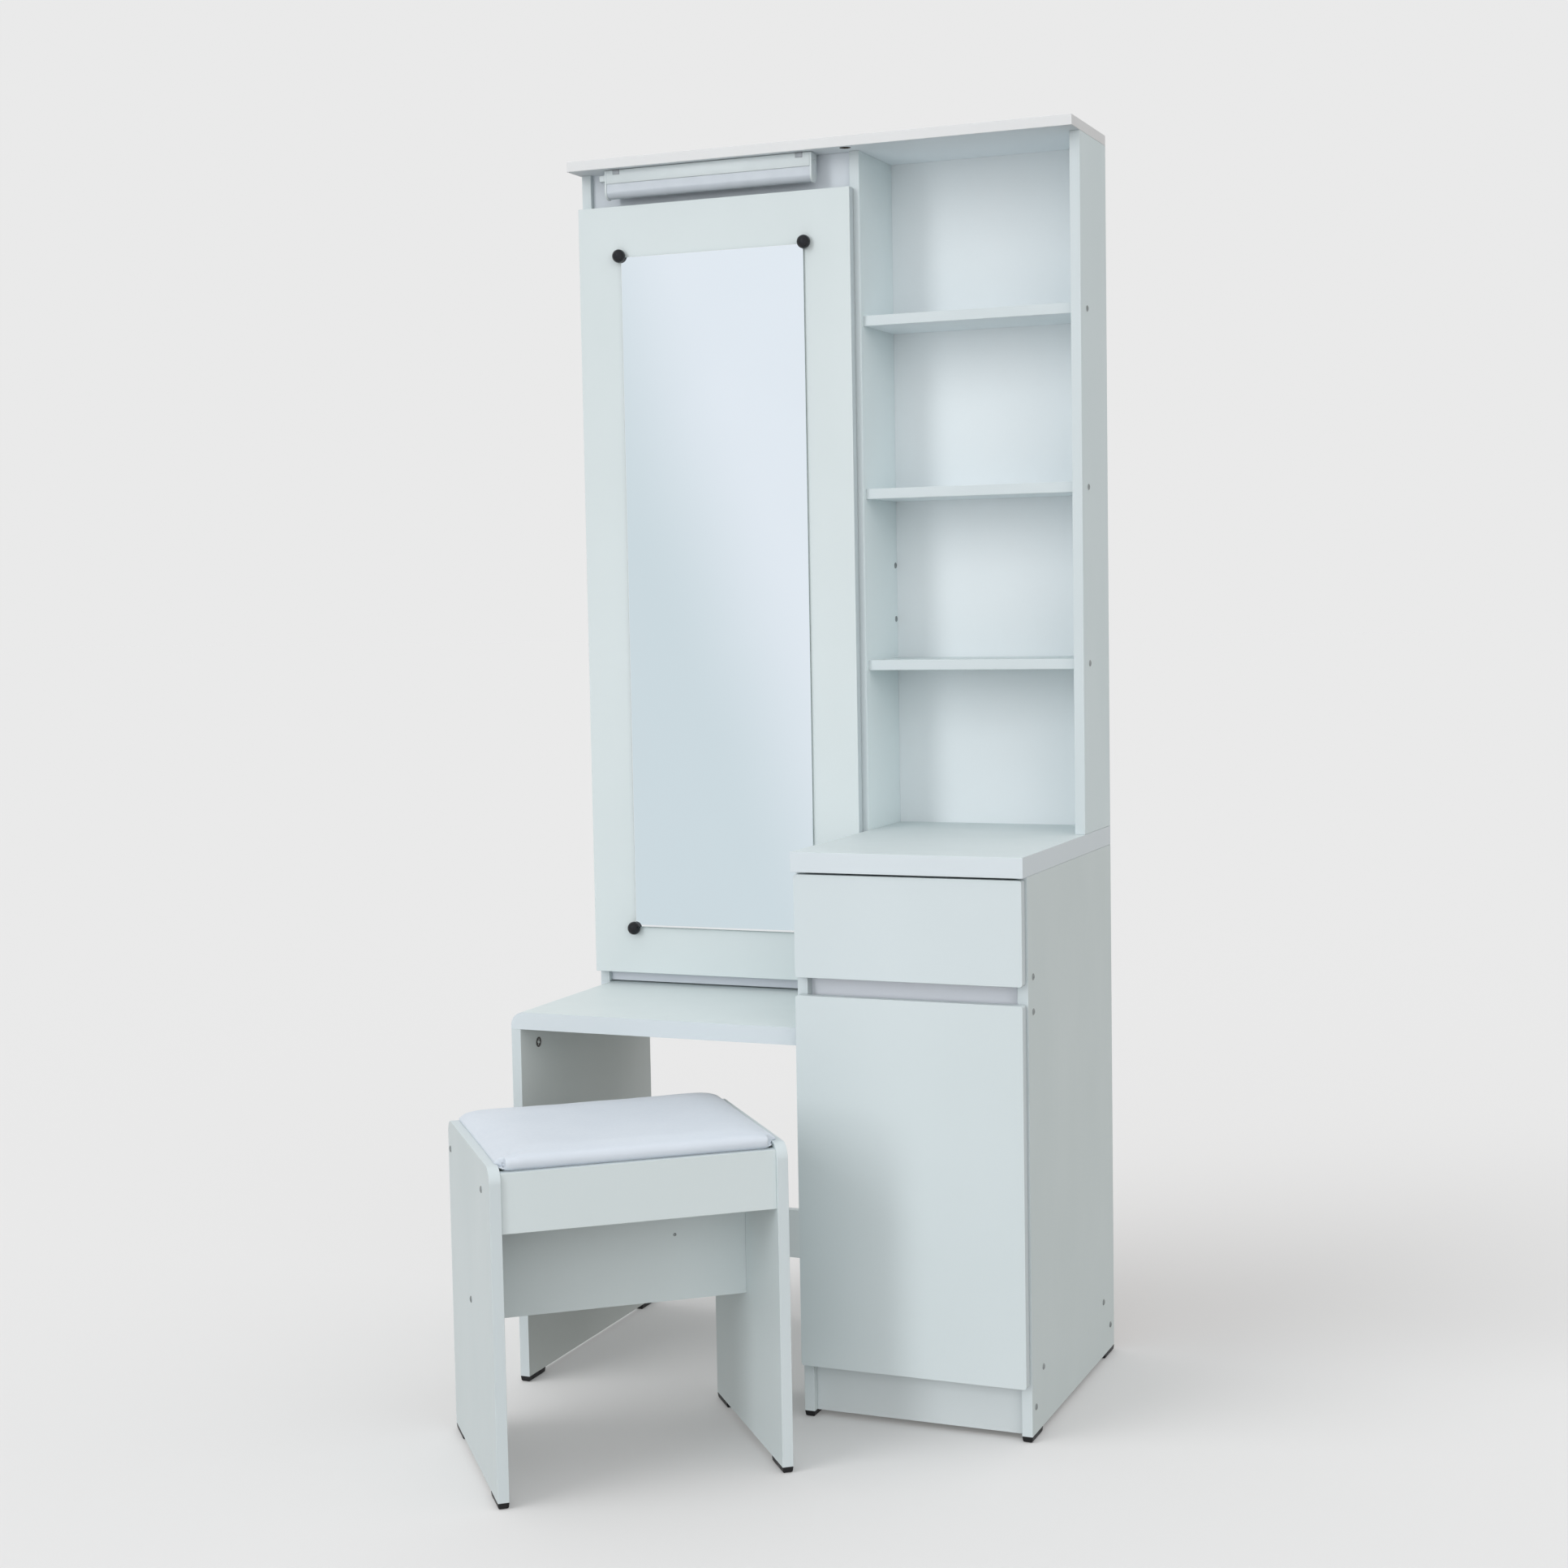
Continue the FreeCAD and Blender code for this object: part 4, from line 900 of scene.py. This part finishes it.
mirrorGlass = {
    "arris": 0.0008,
    "steps": 2,
    "silverSlope": 0.3,  # the silver shows on the face and its arris, but not on the lower one
    "backSlope": 0.95,
}
knob = {
    # radius and height shares of the head, from the glass outwards
    "profile": (
        (0.86, 0.0),
        (0.97, 0.02),
        (1.0, 0.10),
        (1.0, 0.30),
        (0.985, 0.42),
        (0.93, 0.58),
        (0.84, 0.72),
        (0.70, 0.84),
        (0.52, 0.93),
        (0.30, 0.98),
        (0.0, 1.0),
    ),
    "radius": 0.010,
    "height": 0.0112,
    "stem": ((0.0, -0.012), (0.0028, -0.012), (0.0028, 0.0)),
    "steps": 48,
}


def makeMirror():
    shape = solidOf("mirror_glass")
    easeEdges(shape, mirrorGlass["arris"], mirrorGlass["steps"])
    slope = mirrorGlass["silverSlope"]
    for each in shape.faces:
        silvered = each.normal.y < -slope and each.normal.z > -slope
        each.material_index = 0 if silvered else 2 if each.normal.y > mirrorGlass["backSlope"] else 1
    piece = addPiece("mirror_glass_pane", shape, "mirror_glass", [silver, glassEdge, mirrorPaint], sharp=10)
    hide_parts("mirror_glass")

    shape = bmesh.new()
    head = [(share * knob["radius"], rise * knob["height"]) for share, rise in knob["profile"]]
    for part in looseParts("mirror_knobs"):
        low, high = spanOf(part)
        middle = Vector(((low.x + high.x) / 2, low.y + knob["height"], (low.z + high.z) / 2))
        turnProfile(shape, [*knob["stem"], *head], facing(middle, (0, -1, 0)), knob["steps"])
    bmesh.ops.recalc_face_normals(shape, faces=shape.faces)
    piece = addPiece("mirror_knob_heads", shape, "mirror_knobs", [blackGloss], sharp=40)
    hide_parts("mirror_knobs")


makeMirror()
print("mirror hung")

hingeScrew = {
    "radius": 0.0032,
    "rise": 0.0004,
    "crown": 0.0006,
    "slotReach": 0.0019,
    "slotHalf": 0.0005,
    "slotDepth": 0.0012,
    "plateReach": 0.016,  # above and below the arm
    "plateSheet": 0.0035,
    "fromArmEnd": 0.0293,
    "flangeReach": 0.0225,  # above and below the cup
    "turn": 0.3,
    "turnSpread": 40.0,
}


# Two screws in each plate on the side panel, and two in each cup's flange.
def addHingeScrews(shape, name, setup):
    for part in looseParts(name):
        low, high = spanOf(part)
        middle = (low + high) / 2
        for way in (-1, 1):
            if name.endswith("cups"):
                outward = (0, 1, 0)
                spot = (middle.x, high.y, middle.z + way * setup["flangeReach"])
            else:
                inward = -1 if name.startswith("door") else 1
                outward = (inward, 0, 0)
                face = (high.x if inward < 0 else low.x) + inward * setup["plateSheet"]
                spot = (face, high.y - setup["fromArmEnd"], middle.z + way * setup["plateReach"])
            turn = Matrix.Rotation(setup["turn"] + setup["turnSpread"] * middle.z + way, 4, "Z")
            addHead(shape, facing(spot, outward) @ turn, setup, steps=20, rings=8, material=1)


glide = {
    "footEase": 0.0022,  # on the edges that touch the floor
    "footSteps": 3,
    "footBelow": 0.0005,
    "ease": 0.0005,
    "steps": 1,
}


def onFloorEdge(edge):
    return max(vert.co.z for vert in edge.verts) < glide["footBelow"]


def makeFittings():
    # Lamp, runners and hinges keep their CAD form with trimmed edges.
    for name, ease, paint in (
        ("lamp_body", 0.0009, lampWhite),
        ("lamp_end_caps", 0.0007, lampWhite),
        ("lamp_connector", 0.0006, lampWhite),
        ("lamp_clips", 0.0002, clipSteel),
        ("drawer_runners", 0.0006, runnerNylon),
        ("door_hinge_arms", 0.0003, hingeNickel),
        ("mirror_hinge_arms", 0.0003, hingeNickel),
        ("door_hinge_cups", 0.0003, hingeNickel),
        ("mirror_hinge_cups", 0.0003, hingeNickel),
    ):
        shape = solidOf(name)
        easeEdges(shape, ease, steps=2)
        if "hinge" in name:
            addHingeScrews(shape, name, hingeScrew)
        piece = addPiece(name + "_form", shape, name, [paint, screwZinc], sharp=30)
        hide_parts(name)
    for name, paint in (("lamp_diffuser", lampOpal), ("lamp_light_strip", lightStrip)):
        nodes[name].data.materials.clear()
        nodes[name].data.materials.append(paint)
    for name in ("floor_glides", "stool_glides"):
        shape = solidOf(name)
        easeEdges(shape, glide["footEase"], glide["footSteps"], onFloorEdge)
        easeEdges(shape, glide["ease"], glide["steps"])
        piece = addPiece(name + "_form", shape, name, [blackMould], sharp=30)
        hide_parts(name)


makeFittings()
print("fittings made")

seatCushion = {
    "turn": 39.4,  # degrees that the stool is turned
    # The slack cover: height in mm above the seat board's underside, half width, half depth, corner radius.
    "cover": (
        (0.3, 177.8, 150.8, 12),
        (3.0, 178.7, 151.6, 12),
        (7.2, 178.8, 152.0, 12),
        (8.2, 186.2, 152.3, 16),
        (9.2, 187.0, 152.6, 16),
        (10.6, 186.0, 152.6, 12),
        (12.4, 182.8, 152.4, 12),
        (14.4, 178.0, 151.8, 12),
        (16.2, 171.5, 150.4, 13),
        (17.3, 163.0, 147.8, 15),
        (17.7, 150.0, 143.6, 22),
        (17.6, 130.0, 134.0, 26),
        (17.2, 90.0, 100.0, 34),
    ),
    "cornerSteps": 10,
    "voxel": 0.0045,
    "pressure": 4.0,
    "slack": 0.006,  # spare share of vinyl
    "tension": 80.0,
    "bending": 40.0,
    "frames": 20,
    "cap": 0.005,  # metres that a point may move in the middle, and at the rim
    "rimCap": 0.0018,
    "rimWidth": 0.05,
    "evenings": 30,  # passes that take out the short buckles
    "heldBelow": 0.0072,
    "innerFace": 0.1787,  # the cover stops short of the side panels
    "panelTop": 0.0078,
    "lapBand": 0.003,  # the lap over the panels starts this far below their tops
    "lapReach": 0.02,
    "lapEnds": (0.1310, 0.1380),  # it fades out between these depths at the front
    "cornerFace": 0.1715,  # half width at the front corners
    "lapShift": 0.0022,  # the lap is wider on the right panel
    "shiftFrom": 0.001,  # below the panels' tops
    "shiftFade": 0.002,
    "roomGap": 0.0003,
    # Faint pulls that spread from the front corners: corner, height, how far they run.
    "pulls": (((-0.166, -0.142), 0.0007, 0.034), ((0.168, -0.142), 0.0004, 0.024)),
    "pullCount": 9,
    "pullStart": 0.012,
    "pullFrom": 0.001,  # above the panels' tops
    "pullFade": 0.003,
}


def coverShape(setup):
    shape = bmesh.new()
    rings = []
    for height, wide, deep, corner in setup["cover"]:
        ring = []
        for quarter, (alongA, alongB) in enumerate(((1, 1), (-1, 1), (-1, -1), (1, -1))):
            for step in range(setup["cornerSteps"] + 1):
                angle = math.pi / 2 * (quarter + step / setup["cornerSteps"])
                a = alongA * (wide - corner) + corner * math.cos(angle)
                b = alongB * (deep - corner) + corner * math.sin(angle)
                ring.append(shape.verts.new((a / 1000, b / 1000, height / 1000)))
        rings.append(ring)
    for lower, upper in zip(rings, rings[1:]):
        for step in range(len(lower)):
            following = (step + 1) % len(lower)
            shape.faces.new((lower[step], lower[following], upper[following], upper[step]))
    shape.faces.new(reversed(rings[0]))
    shape.faces.new(rings[-1])
    return shape


def asObject(name, shape):
    mesh = bpy.data.meshes.new(name)
    shape.to_mesh(mesh)
    shape.free()
    made = bpy.data.objects.new(name, mesh)
    scene.collection.objects.link(made)
    return made


def takeMesh(thing):
    return bpy.data.meshes.new_from_object(thing.evaluated_get(bpy.context.evaluated_depsgraph_get()))


def pointsOf(mesh):
    points = numpy.empty(len(mesh.vertices) * 3, dtype=numpy.float32)
    mesh.vertices.foreach_get("co", points)
    return points.reshape(-1, 3).astype(float)


def setPoints(mesh, points):
    mesh.vertices.foreach_set("co", points.astype(numpy.float32).ravel())
    mesh.update()


# The slack cover is blown up by Cloth pressure, its underside held, and the points' movement is capped.
def swell(pad, setup):
    held = pad.vertex_groups.new(name="held")
    start = pointsOf(pad.data)
    held.add([index for index, point in enumerate(start) if point[2] < setup["heldBelow"]], 1.0, "REPLACE")
    cloth = pad.modifiers.new("swell", "CLOTH")
    cloth.settings.use_pressure = True
    cloth.settings.uniform_pressure_force = setup["pressure"]
    cloth.settings.effector_weights.gravity = 0
    cloth.settings.vertex_group_mass = "held"
    cloth.settings.tension_stiffness = cloth.settings.compression_stiffness = setup["tension"]
    cloth.settings.bending_stiffness = setup["bending"]
    cloth.settings.shrink_min = -setup["slack"]
    cloth.point_cache.frame_start, cloth.point_cache.frame_end = 1, setup["frames"]
    for step in range(1, setup["frames"] + 1):
        scene.frame_set(step)
    blown = takeMesh(pad)
    move = pointsOf(blown) - start
    ends = numpy.empty(len(blown.edges) * 2, dtype=numpy.int32)
    blown.edges.foreach_get("vertices", ends)
    ends = ends.reshape(-1, 2)
    count = numpy.bincount(ends.ravel(), minlength=len(start))[:, None]
    for step in range(setup["evenings"]):
        total = numpy.zeros_like(move)
        numpy.add.at(total, ends[:, 0], move[ends[:, 1]])
        numpy.add.at(total, ends[:, 1], move[ends[:, 0]])
        move = (move + total / count) / 2
    reach = numpy.linalg.norm(move, axis=1, keepdims=True)
    most, middle = (round(float(pick(reach)) * 1000, 1) for pick in (numpy.max, numpy.median))
    print("cushion swells by up to", most, "mm, middle", middle)
    aside, along = numpy.abs(start[:, 0]), numpy.abs(start[:, 1])
    fromRim = numpy.minimum(aside.max() - aside, along.max() - along)
    share = numpy.clip(fromRim / setup["rimWidth"], 0, 1)[:, None]
    cap = setup["rimCap"] + (setup["cap"] - setup["rimCap"]) * share * share * (3 - 2 * share)
    setPoints(pad.data, start + move * cap * numpy.tanh(reach / cap) / numpy.maximum(reach, 1e-9))
    pad.modifiers.remove(cloth)
    bpy.data.meshes.remove(blown)
    scene.frame_set(1)


# Flat where it rests, clear of the panels' inner faces and tops, and drawn in at the front corners.
def fitCover(pad, setup):
    points = pointsOf(pad.data)
    panelTop, innerFace = setup["panelTop"], setup["innerFace"]
    lapFrom, lapTo = setup["lapEnds"]
    lapped = numpy.clip((lapTo + points[:, 1]) / (lapTo - lapFrom), 0, 1)
    lapFace = setup["cornerFace"] + lapped * setup["lapReach"]
    room = numpy.where(points[:, 2] > panelTop - setup["lapBand"], lapFace, innerFace)
    points[:, 0] = numpy.sign(points[:, 0]) * numpy.minimum(numpy.abs(points[:, 0]), room)
    raised = numpy.clip((points[:, 2] - panelTop + setup["shiftFrom"]) / setup["shiftFade"], 0, 1)
    points[:, 0] += setup["lapShift"] * raised * lapped
    over = numpy.abs(points[:, 0]) > innerFace + setup["roomGap"]
    points[over, 2] = numpy.maximum(points[over, 2], panelTop)
    points[:, 2] = numpy.maximum(points[:, 2], setup["roomGap"])
    onTop = numpy.clip((points[:, 2] - panelTop - setup["pullFrom"]) / setup["pullFade"], 0, 1)
    for (cornerA, cornerB), height, run in setup["pulls"]:
        aside, along = points[:, 0] - cornerA, points[:, 1] - cornerB
        away = numpy.hypot(aside, along)
        swing = numpy.sin(setup["pullCount"] * numpy.arctan2(along, aside))
        near = numpy.clip(away / setup["pullStart"], 0, 1)
        points[:, 2] += height * swing * near * numpy.exp(-away / run) * onTop
    setPoints(pad.data, points)


def makeCushion(setup):
    pad = asObject("seatPad", coverShape(setup))
    remesh = pad.modifiers.new("evenGrid", "REMESH")
    remesh.mode = "VOXEL"
    remesh.voxel_size = setup["voxel"]
    grid = takeMesh(pad)
    pad.modifiers.clear()
    pad.data = grid
    swell(pad, setup)
    finer = pad.modifiers.new("finer", "SUBSURF")
    finer.levels = finer.render_levels = 1
    pad.data = takeMesh(pad)
    pad.modifiers.clear()
    fitCover(pad, setup)

    low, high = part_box("stool_seat_board")
    middle = (low + high) / 2
    stand = Matrix.Translation((middle.x, middle.y, low.z)) @ Matrix.Rotation(math.radians(setup["turn"]), 4, "Z")

    # The room for the seat board is cut out from below.
    corners = [stand.inverted() @ vert.co for vert in nodes["stool_seat_board"].data.vertices]
    reach = [max(abs(point[axis]) for point in corners) + setup["roomGap"] for axis in range(3)]
    shape = bmesh.new()
    bmesh.ops.create_cube(shape, size=2, matrix=Matrix.Diagonal((*reach, 1)))
    hollow = asObject("boardRoom", shape)
    cutter = pad.modifiers.new("boardRoom", "BOOLEAN")
    cutter.operation = "DIFFERENCE"
    cutter.solver = "EXACT"
    cutter.object = hollow
    pad.data = takeMesh(pad)

    shape = bmesh.new()
    shape.from_mesh(pad.data)
    bmesh.ops.transform(shape, matrix=stand, verts=shape.verts)
    bpy.data.objects.remove(pad)
    bpy.data.objects.remove(hollow)
    piece = addPiece("seat_cushion", shape, "stool_cushion", [seatVinyl], sharp=50)
    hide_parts("stool_cushion")
    heights = [vert.co.z for vert in piece.data.vertices]
    print("cushion", len(heights), "points, heights", round(min(heights), 4), round(max(heights), 4))


makeCushion(seatCushion)
print("cushion made")
